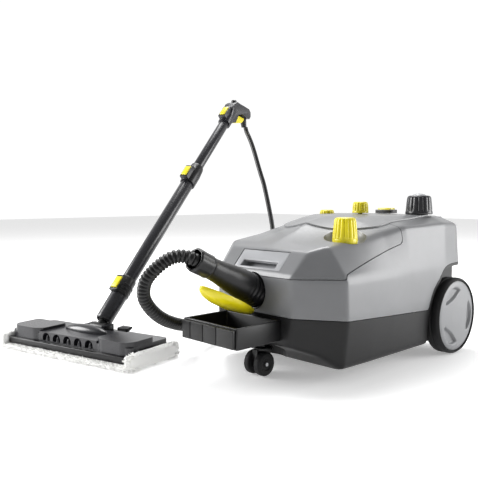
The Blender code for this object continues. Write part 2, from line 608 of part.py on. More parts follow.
def build_inside(machine):
    floor = BELLY_Z + WALL + GAP
    r = BOILER_RADIUS
    low, high = BOILER_Z, BOILER_Z + BOILER_HEIGHT
    t = 0.002
    port = 0.010
    outer = [(0, low), (r - 0.012, low), (r, low + 0.012), (r, high - 0.026), (r * 0.72, high - 0.006),
             (port, high), (port, high + 0.010)]
    inner = [(port - t, high + 0.010), (port - t, high - t), (r * 0.72, high - 0.006 - t),
             (r - t, high - 0.026 - t), (r - t, low + 0.012 + t), (r - 0.012 - t, low + t), (0, low + t)]
    add("boiler", turned(outer + inner, 16), machine, "steel", True, (0, BOILER_Y, 0))
    add("heating_element", pipe(r * 0.72, 0.018, low - 0.0065, low - GAP, 20), machine, "steel", True, (0, BOILER_Y, 0))
    add("boiler_cradle", turned([(r - 0.0160, floor), (r - 0.002, floor), (r - 0.002, floor + 0.003),
                                 (r - 0.0125, low - GAP), (r - 0.0160, low - GAP)], 24), machine, "steel", True,
        (0, BOILER_Y, 0))
    valve = [(0, high + 0.004), (port - t - GAP, high + 0.004), (port - t - GAP, high + 0.0103),
             (0.012, high + 0.0103), (0.012, high + 0.016), (0.008, high + 0.018), (0.008, high + 0.027),
             (0, high + 0.030)]
    add("safety_valve", turned(valve, 16), machine, "brass", True, (0, BOILER_Y, 0))

    neck_low = SHOULDER_Z - 0.0110
    half = HOUSE_X - WALL - 0.011
    back = AXLE_TO_BACK - WALL - 0.006
    tank_low, tank_high = WHEEL_RADIUS + 0.023, neck_low - GAP
    tank = add("water_tank", box((-half, TANK_FRONT, tank_low), (half, back, tank_high)), machine, "tank")
    w = TANK_WALL
    hollow = box((-half + w, TANK_FRONT + w, tank_low + w), (half - w, back - w, tank_high - w))
    boolean(tank, add("cut_tank", hollow, machine))
    boolean(tank, add("cut_tank_neck", rod(NECK_RADIUS - WALL, tank_high - 0.01, tank_high + 0.01, 28), machine,
                      place=(*CAP_PLACE, 0)))

    pump_y = (TANK_FRONT - AXLE_RADIUS) / 2 - 0.006
    pump = [(0, -0.030), (0.014, -0.030), (0.014, -0.010), (0.018, -0.009), (0.018, 0.020), (0.006, 0.021),
            (0.006, 0.032), (0, 0.032)]
    add("feed_pump", turned(pump, 18), machine, "black", True, (-0.055, pump_y, floor + 0.0185), ALONG_X)
    valve_body = add("steam_valve", box((-0.011, -0.011, 0), (0.011, 0.011, 0.024)), machine, "brass",
                     place=(0.055, pump_y, floor))
    boolean(valve_body, add("join_valve_coil", rod(0.010, 0.020, 0.046, 20), machine, place=(0.055, pump_y, floor)),
            "UNION")

    board_x = -BODY_HALF_WIDTH + WALL + 0.011
    board = add("control_board", box((0, -0.045, 0), (0.0016, 0.045, 0.075)), machine, "board",
                place=(board_x, BOILER_Y, floor))
    parts = [box((0.0010, -0.030, 0.012), (0.014, -0.010, 0.034)), box((0.0010, 0.004, 0.010), (0.011, 0.030, 0.030)),
             box((0.0010, -0.020, 0.046), (0.009, 0.022, 0.062))]
    boolean(board, add("join_board_parts", merge(parts), machine, place=(board_x, BOILER_Y, floor)), "UNION")


def build_steam_outlet(machine):
    """Socket in the front and the pipe from it down to the boiler, both on the plug's axis."""
    frame = empty("socket_frame", SEAT, PLUG_TURN, machine)
    inner = PLUG_RADIUS + 0.0007
    outer = PLUG_RADIUS + 0.0027
    back = -0.0123
    cup = [(0.0062, back - 0.003), (outer, back - 0.003), (outer, 0.012), (inner, 0.012), (inner, back), (0.0062, back)]
    add("steam_socket", turned(cup, 24), frame, "black", True)
    add("outlet_pipe", pipe(0.0085, 0.0062, -0.058, back - 0.003 - GAP, 20), frame, "steel", True)


def build_gland(machine):
    turn = Euler((-math.pi / 2, 0, 0))
    shape = [(0.0042, -0.010), (0.0068, -0.010), (0.0068, 0.0003), (0.0110, 0.0006), (0.0110, 0.0040),
             (0.0080, 0.0050), (0.0058, 0.024), (0.0042, 0.024)]
    add("cord_gland", turned(shape, 20), machine, "rubber", True, (-0.060, AXLE_TO_BACK, GLAND_Z), turn)


def build_plug(machine):
    pull = empty("axis_plug_pull", SEAT, PLUG_TURN, machine)
    r = PLUG_RADIUS
    mouth = MOUTH_RADIUS
    bore = SLEEVE_RADIUS + 0.0042
    end = PLUG_LENGTH
    outer = [(0.0, -0.012), (r, -0.012), (r, 0.035), (r - 0.001, 0.055), (r - 0.0035, 0.080), (r - 0.0070, 0.105),
             (r - 0.0076, 0.125), (mouth, end - 0.004), (mouth, end)]
    inner = [(bore, end), (bore - 0.002, end - 0.018), (0.0, end - 0.018)]
    shell = add("plug_shell", turned(outer + inner, 24), pull, "black", True)
    # In the plug's frame -Y points down, away from the axis towards the flap.
    lug = box((-0.008, -0.0278, 0.016), (0.008, -0.018, 0.030))
    boolean(shell, add("join_plug_lug", lug, pull), "UNION")
    boolean(shell, add("cut_plug_spigot", rod(0.0055 + GAP, -0.05, 0.010, 20), pull))
    add("plug_spigot", pipe(0.0055, 0.0032, -0.0200, 0.0097, 20), pull, "steel", True)

    hinge_s = 0.023
    hinge = empty("axis_flap", (0, -0.0290, hinge_s), ALONG_X, pull)
    leaf = [(0.013, 0.008), (0.020, 0.016), (0.040, 0.025), (0.062, 0.030), (0.086, 0.0295), (0.106, 0.023),
            (0.119, 0.014), (0.126, 0.004)]
    section = [(-0.80, 0.0), (-1.0, 0.25), (-0.62, 0.78), (0.0, 1.0), (0.62, 0.78), (1.0, 0.25), (0.80, 0.0)]
    rings = []
    for s, half in leaf:
        crown = 0.004 + 0.0085 * min(1.0, half / 0.029)
        rings.append([(hinge_s - s, -depth * crown, x * half) for x, depth in section])
    add("release_flap", loft(rings), hinge, "yellow", True)


# ---------------------------------------------------------------- hose
MOUTH = SEAT + (PLUG_LENGTH - 0.0177) * Vector((0, -math.cos(PLUG_TILT), math.sin(PLUG_TILT)))
# Routes, as they lie with the usual sizes: the sleeve's from the plug's mouth, the hose's to the gun.
SLEEVE_ROUTE = [
    (0.0, FRONT - 0.1060, 0.1900), (0.0, FRONT - 0.1225, 0.1979), (-0.008, FRONT - 0.1345, 0.2020),
    (-0.021, FRONT - 0.1470, 0.1995), (-0.038, FRONT - 0.1600, 0.185), (-0.056, FRONT - 0.1675, 0.164),
    (-0.069, FRONT - 0.162, 0.139), (-0.077, FRONT - 0.143, 0.116), (-0.086, FRONT - 0.114, 0.096),
    (-0.102, FRONT - 0.074, 0.080), (LEFT + 0.015, FRONT - 0.025, 0.066), (LEFT - 0.020, FRONT + 0.027, 0.050),
    (LEFT - 0.052, FRONT + 0.082, 0.032), (LEFT - 0.071, FRONT + 0.135, 0.019),
    (LEFT - 0.082, FRONT + 0.185, 0.0140), (LEFT - 0.086, FRONT + 0.225, 0.0130),
    (LEFT - 0.086, FRONT + 0.2545, 0.0130),
]
HOSE_ROUTE = [
    (LEFT - 0.086, FRONT + 0.2853, 0.0130), (LEFT - 0.086, FRONT + 0.297, 0.0130),
    (LEFT - 0.086, FRONT + 0.322, 0.0095), (LEFT - 0.085, -0.028, 0.0062), (LEFT - 0.083, 0.004, 0.0060),
    (LEFT - 0.077, 0.045, 0.0060), (LEFT - 0.059, 0.092, 0.0060), (LEFT - 0.023, 0.125, 0.0060),
    (-0.125, 0.142, 0.0060), (-0.090, 0.166, 0.0060), (-0.092, 0.205, 0.0060), (-0.130, 0.231, 0.0060),
    (-0.182, 0.230, 0.0060), (-0.230, 0.205, 0.0060), (-0.265, 0.162, 0.0060), (-0.283, 0.112, 0.0060),
    (-0.288, 0.070, 0.0060), (-0.287, 0.038, 0.0095), (-0.289, 0.016, 0.0280), (-0.297, 0.009, 0.0600),
    (-0.306, 0.010, 0.0950), (-0.315, 0.013, 0.1350), (-0.325, 0.018, 0.1800), (-0.336, 0.0235, 0.2203),
    (-0.352, 0.027, 0.2687), (-0.371, 0.031, 0.3179), (-0.3835, 0.033, 0.3428), (-0.397, 0.036, 0.3681),
    (-0.410, 0.039, 0.3937), (-0.4235, 0.042, 0.4180), (-0.4368, 0.0445, 0.4385), (-0.4495, 0.0472, 0.4549),
    (-0.4523, 0.0459, 0.4665),
]
HOSE_OUTLET = (-0.0018, 0.0539, -0.0402)  # hose's end in the gun's frame
BUSH_PLACE = (-0.0046, 0.0525, -0.0140)


def follow(route, end, actual, floor=0.02):
    """The route with one end moved to where it belongs; points near the floor stay."""
    shift = actual - Vector(route[end])
    rise = route[end][2] - floor
    return [Vector(p) + shift * min(1.0, max(0.0, (p[2] - floor) / rise)) for p in route]


COLLAR_RADIUS = 0.0125


def smooth_route(points, spacing):
    """Points every spacing along a Catmull-Rom curve through the route."""
    ends = [points[0]] + points + [points[-1]]
    knots = [Vector(p) for p in ends]
    fine = []
    for a, b, c, d in zip(knots, knots[1:], knots[2:], knots[3:]):
        for step in range(24):
            t = step / 24
            fine.append(0.5 * (2 * b + (c - a) * t + (2 * a - 5 * b + 4 * c - d) * t * t
                               + (3 * b - a - 3 * c + d) * t ** 3))
    fine.append(knots[-1])
    length = sum((q - p).length for p, q in zip(fine, fine[1:]))
    count = max(2, round(length / spacing))
    want = length / count
    chosen = [fine[0]]
    travelled = 0.0
    for p, q in zip(fine, fine[1:]):
        travelled += (q - p).length
        if travelled >= want * len(chosen) and len(chosen) < count:
            chosen.append(q)
    chosen.append(fine[-1])
    return chosen


def tube(name, route, radius, spacing, parent, colour):
    curve = bpy.data.curves.new(name, "CURVE")
    curve.dimensions = "3D"
    curve.bevel_depth = radius
    curve.bevel_resolution = 2
    curve.use_fill_caps = True
    points = [Vector(route[0])] + smooth_route(route[1:-1], spacing) + [Vector(route[-1])]
    spline = curve.splines.new("POLY")
    spline.points.add(len(points) - 1)
    for point, place in zip(spline.points, points):
        point.co = (*place, 1.0)
    obj = bpy.data.objects.new(name, curve)
    bpy.context.scene.collection.objects.link(obj)
    obj.parent = parent
    code, roughness, metallic = COLOURS[colour]
    curve.materials.append(finish(name, code, roughness, metallic))
    return obj


def build_hose(machine):
    sleeve = follow(SLEEVE_ROUTE, 0, MOUTH)
    bush, outlet = gun_to_machine(Vector(BUSH_PLACE)), gun_to_machine(Vector(HOSE_OUTLET))
    hose = follow(HOSE_ROUTE, -1, outlet)
    hose[-2] = outlet + (outlet - bush).normalized() * 0.011
    tube("hose_sleeve", sleeve, SLEEVE_RADIUS, 0.0170, machine, "black")
    tube("steam_hose", hose, HOSE_RADIUS, 0.0175, machine, "rubber")
    start, end = sleeve[-1], hose[0]
    turn = (end - start).to_track_quat("Z", "Y").to_euler()
    length = (end - start).length
    add("hose_collar", rod(COLLAR_RADIUS, GAP, length - GAP, 20), machine, "black", True, start, turn)


# ---------------------------------------------------------------- floor nozzle
def rounded_outline(half_x, half_y, corner, steps=4):
    points = []
    for cx, cy, start in ((1, 1, 0), (-1, 1, 90), (-1, -1, 180), (1, -1, 270)):
        for i in range(steps + 1):
            angle = math.radians(start + 90 * i / steps)
            points.append((cx * (half_x - corner) + corner * math.cos(angle),
                           cy * (half_y - corner) + corner * math.sin(angle)))
    return points


def build_nozzle(head):
    half = NOZZLE_LENGTH / 2
    deep = NOZZLE_DEPTH / 2
    over = CLOTH_OVERHANG
    base_low = CLOTH_THICKNESS + GAP
    base_top = base_low + BASE_THICKNESS
    cloth = add("cleaning_cloth", prism(rounded_outline(half + over, deep + 0.010, 0.014), 0, 0.029), head, "cloth")
    room = box((-half - GAP, -deep - 0.1, CLOTH_THICKNESS), (half + GAP, deep + 0.1, 0.1))
    boolean(cloth, add("cut_cloth", room, head))
    add("nozzle_base", prism(rounded_outline(half, deep, 0.008, 3), base_low, base_top), head, "black")

    low = base_top + GAP
    block_back = 0.014
    middle = 0.068
    housing = add("nozzle_housing", prism(rounded_outline(half - 0.004, deep - 0.006, 0.010, 3), low, HOUSING_TOP_Z),
                  head, "dark")
    behind = box((-half - 0.1, block_back, 0.036), (half + 0.1, deep + 0.1, 0.2))
    centre = box((-middle, -deep - 0.1, HOUSING_MIDDLE_Z), (middle, block_back + 0.01, 0.2))
    boolean(housing, add("cut_housing_back", behind, head))
    boolean(housing, add("cut_housing_middle", centre, head))
    face = -deep + 0.006
    notches = []
    for i in range(NOTCH_COUNT):
        x = (i - (NOTCH_COUNT - 1) / 2) * NOTCH_PITCH
        outline = [(x - 0.009, low + 0.0035), (x + 0.009, low + 0.0035), (x + 0.009, low + 0.006),
                   (x, HOUSING_MIDDLE_Z - 0.0035), (x - 0.009, low + 0.006)]
        notches.append(prism(outline, face - 0.01, face + 0.014, "y"))
    boolean(housing, add("cut_notches", merge(notches), head))
    bay = box((-0.0192, PIVOT_BACK - 0.0155, base_top - 0.01), (0.0192, deep + 0.1, 0.1))
    boolean(housing, add("cut_pivot_bay", bay, head))
    ears = merge([box((side * 0.0222 - 0.003, PIVOT_BACK - 0.013, base_top + 0.004),
                      (side * 0.0222 + 0.003, PIVOT_BACK + 0.013, PIVOT_Z + 0.008)) for side in (-1, 1)])
    boolean(housing, add("join_ears", ears, head), "UNION")
    pin_hole = rod(0.0040 + FIT, -0.03, 0.03, 20)
    boolean(housing, add("cut_pin_hole", pin_hole, head, place=(0, PIVOT_BACK, PIVOT_Z), turn=ALONG_X))

    lens = []
    for scale, height in ((1.0, 0.0), (0.93, 0.0050), (0.72, 0.0095), (0.35, 0.0125)):
        ring = []
        for i in range(24):
            angle = 2 * math.pi * i / 24
            ring.append((0.052 * scale * math.cos(angle), 0.0150 * scale * math.sin(angle),
                         HOUSING_MIDDLE_Z + GAP + height))
        lens.append(ring)
    add("pivot_cover", loft(lens), head, "dark", True, (0, -0.0025, 0))

    clip_axis = empty("axis_cloth_clip", (0.052, 0.040, 0.0405), ALONG_X, head)
    clip = [(-0.0022, -0.003), (0.004, -0.003), (0.010, -0.0005), (0.0145, 0.0025), (0.0135, 0.0050),
            (0.002, 0.0040), (-0.0035, 0.0035)]
    add("cloth_clip", prism([(-z, y) for y, z in clip], -0.012, 0.012), clip_axis, "black")


def build_knuckle(pivot, wand):
    """The piece between the nozzle and the wand: it tilts on the pin, and the neck turns on its spigot."""
    trunnions = [(0, -0.025), (0.0040, -0.025), (0.0040, -0.0187), (0.0105, -0.0187), (0.0105, 0.0187),
                 (0.0040, 0.0187), (0.0040, 0.025), (0, 0.025)]
    barrel = add("swivel_knuckle", turned(trunnions, 24), pivot, "black", True)
    spigot = add("join_spigot", turned([(0, 0.002), (0.0085, 0.002), (0.0085, 0.034), (0, 0.034)], 24), wand)
    boolean(barrel, spigot, "UNION")


# ---------------------------------------------------------------- wand
def latch_housing(obj, name, frame, middle, back):
    """A raised seat for a latch button on the wand's upper side, and its pocket."""
    seat = box((-0.0100, -back - 0.0062, middle - 0.0185), (0.0100, -back + 0.006, middle + 0.0165))
    boolean(obj, add(f"join_{name}_seat", seat, frame), "UNION")
    pocket = box((-0.0078, -back - 0.05, middle - 0.0145), (0.0078, -back - 0.0022, middle + 0.0125))
    return add(f"cut_{name}_pocket", pocket, frame)


def latch_button(name, frame, middle, back):
    axis = empty(f"axis_{name}", (0, -back - 0.0045, middle - 0.001), Euler((-math.pi / 2, 0, 0)), frame)
    # The axis frame's Z points into the wand, so the button's outer face is at -Z.
    button = box((-0.0074, -0.0131, -0.0040), (0.0074, 0.0131, 0.0002))
    return add(name, button, axis, "yellow")


def build_wand(wand):
    bottom, top = LOWER_COUPLING
    seat = top - 0.0283
    spigot_bore = 0.0085 + FIT
    neck = [(0.0060, 0.0165 + 0.0185), (spigot_bore, 0.0345), (spigot_bore, 0.0155), (NECK_TUBE_RADIUS - 0.002, 0.0155),
            (NECK_TUBE_RADIUS, 0.022), (NECK_TUBE_RADIUS + 0.0005, bottom - 0.001), (NECK_TUBE_RADIUS, bottom - GAP),
            (0.0125, bottom - GAP), (0.0125, seat - 0.001), (0.0060, seat - 0.001)]
    add("nozzle_neck", turned(neck, 24), wand, "dark", True)

    tube_r = LOWER_TUBE_RADIUS
    bore = tube_r + GAP
    ribs = [(0, bottom), (0.0172, bottom)]
    for i in range(3):
        z = bottom + 0.004 + 0.008 * i
        ribs += [(0.0172, z), (0.0186, z + 0.001), (0.0186, z + 0.004), (0.0172, z + 0.005)]
    ribs += [(0.0172, top - 0.002), (0.0166, top), (0, top)]
    lower = add("lower_coupling", turned(ribs, 20), wand, "black", True)
    back = 0.0172
    middle = (bottom + top) / 2 - 0.002
    boolean(lower, latch_housing(lower, "latch_lower", wand, middle, back))
    boolean(lower, add("cut_lower_way", rod(0.0128, bottom - 0.01, seat + 0.001, 20), wand))
    boolean(lower, add("cut_lower_seat", rod(bore, seat, top + 0.01, 20), wand))
    latch_button("latch_lower", wand, middle, back)

    bottom2, top2 = MIDDLE_COUPLING
    join = bottom2 + 0.0190
    add("lower_tube", pipe(tube_r, tube_r - TUBE_WALL, seat + GAP, join - GAP, 24), wand, "dark", True)
    upper_r = UPPER_TUBE_RADIUS
    sleeve = [(0, bottom2), (tube_r + 0.0030, bottom2), (tube_r + 0.0030, join + 0.012),
              (upper_r + 0.0034, top2 - 0.004), (upper_r + 0.0026, top2), (0, top2)]
    middle_coupling = add("middle_coupling", turned(sleeve, 24), wand, "black", True)
    middle2 = bottom2 + 0.0205
    back2 = tube_r + 0.0028
    boolean(middle_coupling, latch_housing(middle_coupling, "latch_middle", wand, middle2, back2))
    boolean(middle_coupling, add("cut_middle_low", rod(bore, bottom2 - 0.01, join, 24), wand))
    boolean(middle_coupling, add("cut_middle_high", rod(upper_r + GAP, join - 0.002, top2 + 0.01, 24), wand))
    latch_button("latch_middle", wand, middle2, back2)

    socket_low, socket_high = GUN_SOCKET
    tube_end = socket_high - 0.017
    add("upper_tube", pipe(upper_r, upper_r - TUBE_WALL, join + GAP, tube_end - GAP, 24), wand, "dark", True)


def build_gun(wand):
    """The handle. In the gun's frame Y runs level and backwards, and Z points up."""
    gun = empty("gun_frame", (0, 0, WAND_LENGTH), Euler((WAND_TILT, 0, 0)), wand)
    socket_low, socket_high = GUN_SOCKET
    upper_r = UPPER_TUBE_RADIUS
    shell = add("handle_shell", rod(upper_r + 0.0036, socket_low, socket_high + 0.004, 24), wand, "black", True)
    outline = [(-0.030, -0.017), (-0.014, 0.010), (-0.002, 0.016), (0.012, 0.0125), (0.034, 0.0085), (0.053, 0.0045),
               (0.0600, -0.0030), (0.0600, -0.0140), (0.054, -0.0205), (0.042, -0.0195), (0.020, -0.0120), (0.004, -0.0150),
               (-0.010, -0.036)]
    grip = prism(outline, -0.0145, 0.0145, "x")
    boolean(shell, add("join_grip", grip, gun), "UNION")
    back = upper_r + 0.0032
    middle = socket_low + 0.0235
    pocket = latch_housing(shell, "latch_upper", wand, middle, back)
    boolean(shell, pocket)
    tube_end = socket_high - 0.017
    boolean(shell, add("cut_tube_seat", rod(upper_r + GAP, socket_low - 0.02, tube_end, 24), wand))
    boolean(shell, add("cut_trigger_slot", box((-0.0078, -0.0025, -0.05), (0.0078, 0.0410, -0.0075)), gun))
    boolean(shell, add("cut_button_seat", rod(0.0072, 0.0100, 0.05, 24), gun, place=(-0.0, 0.004, 0)))
    latch_button("latch_upper", wand, middle, back)

    hinge = empty("axis_trigger", (0, 0.0015, -0.0165), ALONG_X, gun)
    trigger = [(-0.0030, 0.0030), (0.0370, -0.0025), (0.0375, -0.0075), (0.0290, -0.0150), (0.0070, -0.0175),
               (-0.0030, -0.0080)]
    add("trigger", prism([(-z, y) for y, z in trigger], -0.0073, 0.0073), hinge, "yellow")
    button_axis = empty("axis_lock_button", (0, 0.004, 0.0125), Euler((math.pi, 0, 0)), gun)
    button = [(0, 0), (0.0068, 0), (0.0068, -0.0080), (0.0050, -0.0098), (0, -0.0104)]
    add("lock_button", turned(button, 24), button_axis, "black", True)

    # Strain relief of the steam hose, seated in the grip's lower rear end.
    exit_point = gun_to_machine(Vector(BUSH_PLACE))
    outlet = gun_to_machine(Vector(HOSE_OUTLET))
    turn = (outlet - exit_point).to_track_quat("Z", "Y").to_euler()
    length = (outlet - exit_point).length
    machine = bpy.data.objects["machine"]
    relief = [(0, 0), (0.0078, 0), (0.0078, 0.010), (HOSE_RADIUS + 0.001, length - GAP), (0, length - GAP)]
    add("hose_bush", turned(relief, 20), machine, "rubber", True, exit_point, turn)
    seat = [(0, -0.0003), (0.0081, -0.0003), (0.0081, 0.03), (0, 0.03)]
    boolean(shell, add("cut_bush_seat", turned(seat, 20), machine, place=exit_point, turn=turn))


def wand_matrix():
    """The wand's frame in the machine's: origin on the nozzle's pivot, Z up the wand."""
    across = Matrix.Rotation(NOZZLE_TURN, 4, "Z")
    place = Vector((*NOZZLE_PLACE, 0)) + across @ Vector((0, PIVOT_BACK, PIVOT_Z))
    return Matrix.Translation(place) @ across @ Matrix.Rotation(-WAND_TILT, 4, "X")


def gun_to_machine(point):
    return wand_matrix() @ Matrix.Translation((0, 0, WAND_LENGTH)) @ Matrix.Rotation(WAND_TILT, 4, "X") @ point


def main():
    clear_scene()
    machine = empty("machine", DATUM)
    cut = make_cutters(machine)
    hood = build_body(machine, cut)
    build_carry_handle(machine, hood)
    build_tray(machine)
    build_wheels(machine)
    build_caster(machine)
    build_top_controls(machine)
    build_cap(machine)
    build_inside(machine)
    build_steam_outlet(machine)
    build_gland(machine)
    build_plug(machine)
    build_hose(machine)

    head = empty("nozzle_frame", (*NOZZLE_PLACE, 0), Euler((0, 0, NOZZLE_TURN)), machine)
    wand = empty("wand_frame", wand_matrix().translation, wand_matrix().to_euler(), machine)
    pivot = empty("axis_nozzle_tilt", (0, PIVOT_BACK, PIVOT_Z), ALONG_X, head)
    build_nozzle(head)
    build_knuckle(pivot, wand)
    build_wand(wand)
    build_gun(wand)
    bpy.context.view_layer.update()


main()
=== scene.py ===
"""The canister steam cleaner's looks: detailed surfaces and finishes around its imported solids.

Lengths are metres. Pieces are worked out in the machine's own frame (x = 0 the middle plane, the rear
axle over x = y = 0, front towards -Y) and moved by DATUM into the row's frame.
"""

import json
import logging
import math
from collections.abc import Callable, Sequence
from dataclasses import dataclass
from enum import Enum

import bmesh
import bpy
import numpy as np
from mathutils import Euler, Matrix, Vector

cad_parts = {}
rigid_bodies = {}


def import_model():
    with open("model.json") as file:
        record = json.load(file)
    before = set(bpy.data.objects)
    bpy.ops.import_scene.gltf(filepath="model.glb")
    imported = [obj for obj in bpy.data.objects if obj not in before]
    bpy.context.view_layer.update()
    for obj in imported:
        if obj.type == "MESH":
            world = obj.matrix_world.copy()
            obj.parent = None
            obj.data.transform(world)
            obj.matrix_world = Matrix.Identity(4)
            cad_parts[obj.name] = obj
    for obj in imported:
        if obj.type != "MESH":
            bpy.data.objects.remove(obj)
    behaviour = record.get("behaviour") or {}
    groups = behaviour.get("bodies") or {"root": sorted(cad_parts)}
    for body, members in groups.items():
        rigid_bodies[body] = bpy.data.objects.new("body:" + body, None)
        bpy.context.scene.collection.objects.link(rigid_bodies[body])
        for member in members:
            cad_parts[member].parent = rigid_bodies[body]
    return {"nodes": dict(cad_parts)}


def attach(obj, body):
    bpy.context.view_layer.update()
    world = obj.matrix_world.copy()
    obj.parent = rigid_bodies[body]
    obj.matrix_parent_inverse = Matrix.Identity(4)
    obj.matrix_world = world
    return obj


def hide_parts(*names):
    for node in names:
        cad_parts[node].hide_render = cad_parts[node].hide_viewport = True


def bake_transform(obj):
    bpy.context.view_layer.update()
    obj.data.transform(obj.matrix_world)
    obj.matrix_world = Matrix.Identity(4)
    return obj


Array = np.ndarray
Profile = Sequence[tuple[float, float]]
LOG = logging.getLogger("steam_cleaner")
logging.basicConfig(level=logging.INFO, format="%(message)s")

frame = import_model()
DATUM = np.array([0.1695, 0.2614, 0.0])
GAP = 0.0003
WHEEL_RADIUS = 0.070
CAP_PLACE = (0.085, -0.020)
RIGHT_KNOB = (0.090, -0.255)
MIDDLE_KNOB = (0.012, -0.104)
LEFT_KNOB = (-0.070, -0.100)
STEM_HOLE = 0.0045
MERGE = 2e-6


# ------------------------------------------------------------------ finishes
def linear(code: str) -> tuple[float, float, float, float]:
    """Linear RGBA of an sRGB hex colour.

    Args:
        code: six hex digits.

    Returns:
        Red, green, blue and an alpha of one.
    """
    parts = np.array([int(code[i : i + 2], 16) for i in (0, 2, 4)]) / 255
    low = parts / 12.92
    high = ((parts + 0.055) / 1.055) ** 2.4
    red, green, blue = np.where(parts <= 0.04045, low, high).tolist()
    return red, green, blue, 1.0


def add_node(tree: bpy.types.NodeTree, kind: str, props: dict | None = None, values: dict | None = None,
             links: dict | None = None) -> bpy.types.Node:
    """Adds a shader node with its settings and links.

    Args:
        tree: the material's node tree.
        kind: the node's type name.
        props: attributes of the node itself.
        values: unlinked socket values, by socket name or number.
        links: sockets that feed this node's sockets, by socket name or number.

    Returns:
        The node.
    """
    made = tree.nodes.new(kind)
    for key, value in (props or {}).items():
        setattr(made, key, value)
    for key, value in (values or {}).items():
        made.inputs[key].default_value = value
    for key, source in (links or {}).items():
        tree.links.new(source, made.inputs[key])
    return made


@dataclass(frozen=True)
class Finish:
    """A surface: what it is made of, and how it was made.

    Attributes:
        name: the material's own name.
        colour: sRGB hex of the clean surface.
        roughness: how matt it is.
        grain_mm: size of the mould's or the maker's texture.
        depth_mm: height of that texture.
        tone: how much the colour varies over a hand's width.
        metallic: one for a metal.
        coat: weight of a clear, glossier skin.
        stretch: how much longer the grain is along X, Y and Z.
        sheen: weight of the soft edge light of cloth and dusty rubber.
        glow: strength of the light it gives off itself.
        specular: level of its mirror-like part.
    """

    name: str
    colour: str
    roughness: float
    grain_mm: float = 0.8
    depth_mm: float = 0.02
    tone: float = 0.05
    metallic: float = 0.0
    coat: float = 0.0
    stretch: tuple[float, float, float] = (1.0, 1.0, 1.0)
    sheen: float = 0.0
    glow: float = 0.0
    specular: float = 0.5

    def make(self) -> bpy.types.Material:
        """The node material: grain in the bump and roughness, slow variation in the colour."""
        material = bpy.data.materials.new(self.name)
        material.use_nodes = True
        tree = material.node_tree
        shader = tree.nodes["Principled BSDF"]
        base = linear(self.colour)
        worn = tuple(min(1.0, c * (1 + 2 * self.tone) + 0.01 * self.tone) for c in base[:3]) + (1.0,)
        place = add_node(tree, "ShaderNodeTexCoord").outputs["Object"]
        scaled = add_node(tree, "ShaderNodeMapping", values={"Scale": tuple(1 / s for s in self.stretch)},
                          links={"Vector": place}).outputs[0]
        grain = add_node(tree, "ShaderNodeTexNoise", values={"Scale": 1000 / self.grain_mm, "Detail": 3.0},
                         links={"Vector": scaled}).outputs[0]
        slow = add_node(tree, "ShaderNodeTexNoise", values={"Scale": 14.0, "Detail": 4.0, "Roughness": 0.6},
                        links={"Vector": place}).outputs[0]
        spread = add_node(tree, "ShaderNodeMapRange", values={1: 0.35, 2: 0.65}, links={0: slow}).outputs[0]
        mixed = add_node(tree, "ShaderNodeMix", props={"data_type": "RGBA"}, values={6: base, 7: worn},
                         links={0: spread}).outputs[2]
        rough = add_node(tree, "ShaderNodeMapRange",
                         values={1: 0.2, 2: 0.8, 3: self.roughness * 0.9,
                                 4: min(1.0, self.roughness * 1.12)},
                         links={0: grain}).outputs[0]
        bump = add_node(tree, "ShaderNodeBump", values={"Strength": 1.0, "Distance": self.depth_mm / 1000},
                        links={"Height": grain}).outputs[0]
        tree.links.new(mixed, shader.inputs["Base Color"])
        tree.links.new(rough, shader.inputs["Roughness"])
        tree.links.new(bump, shader.inputs["Normal"])
        shader.inputs["Metallic"].default_value = self.metallic
        shader.inputs["Coat Weight"].default_value = self.coat
        shader.inputs["Coat Roughness"].default_value = 0.18
        shader.inputs["Sheen Weight"].default_value = self.sheen
        shader.inputs["Specular IOR Level"].default_value = self.specular
        if self.glow:
            shader.inputs["Emission Color"].default_value = base
            shader.inputs["Emission Strength"].default_value = self.glow
        material.diffuse_color = base
        return material


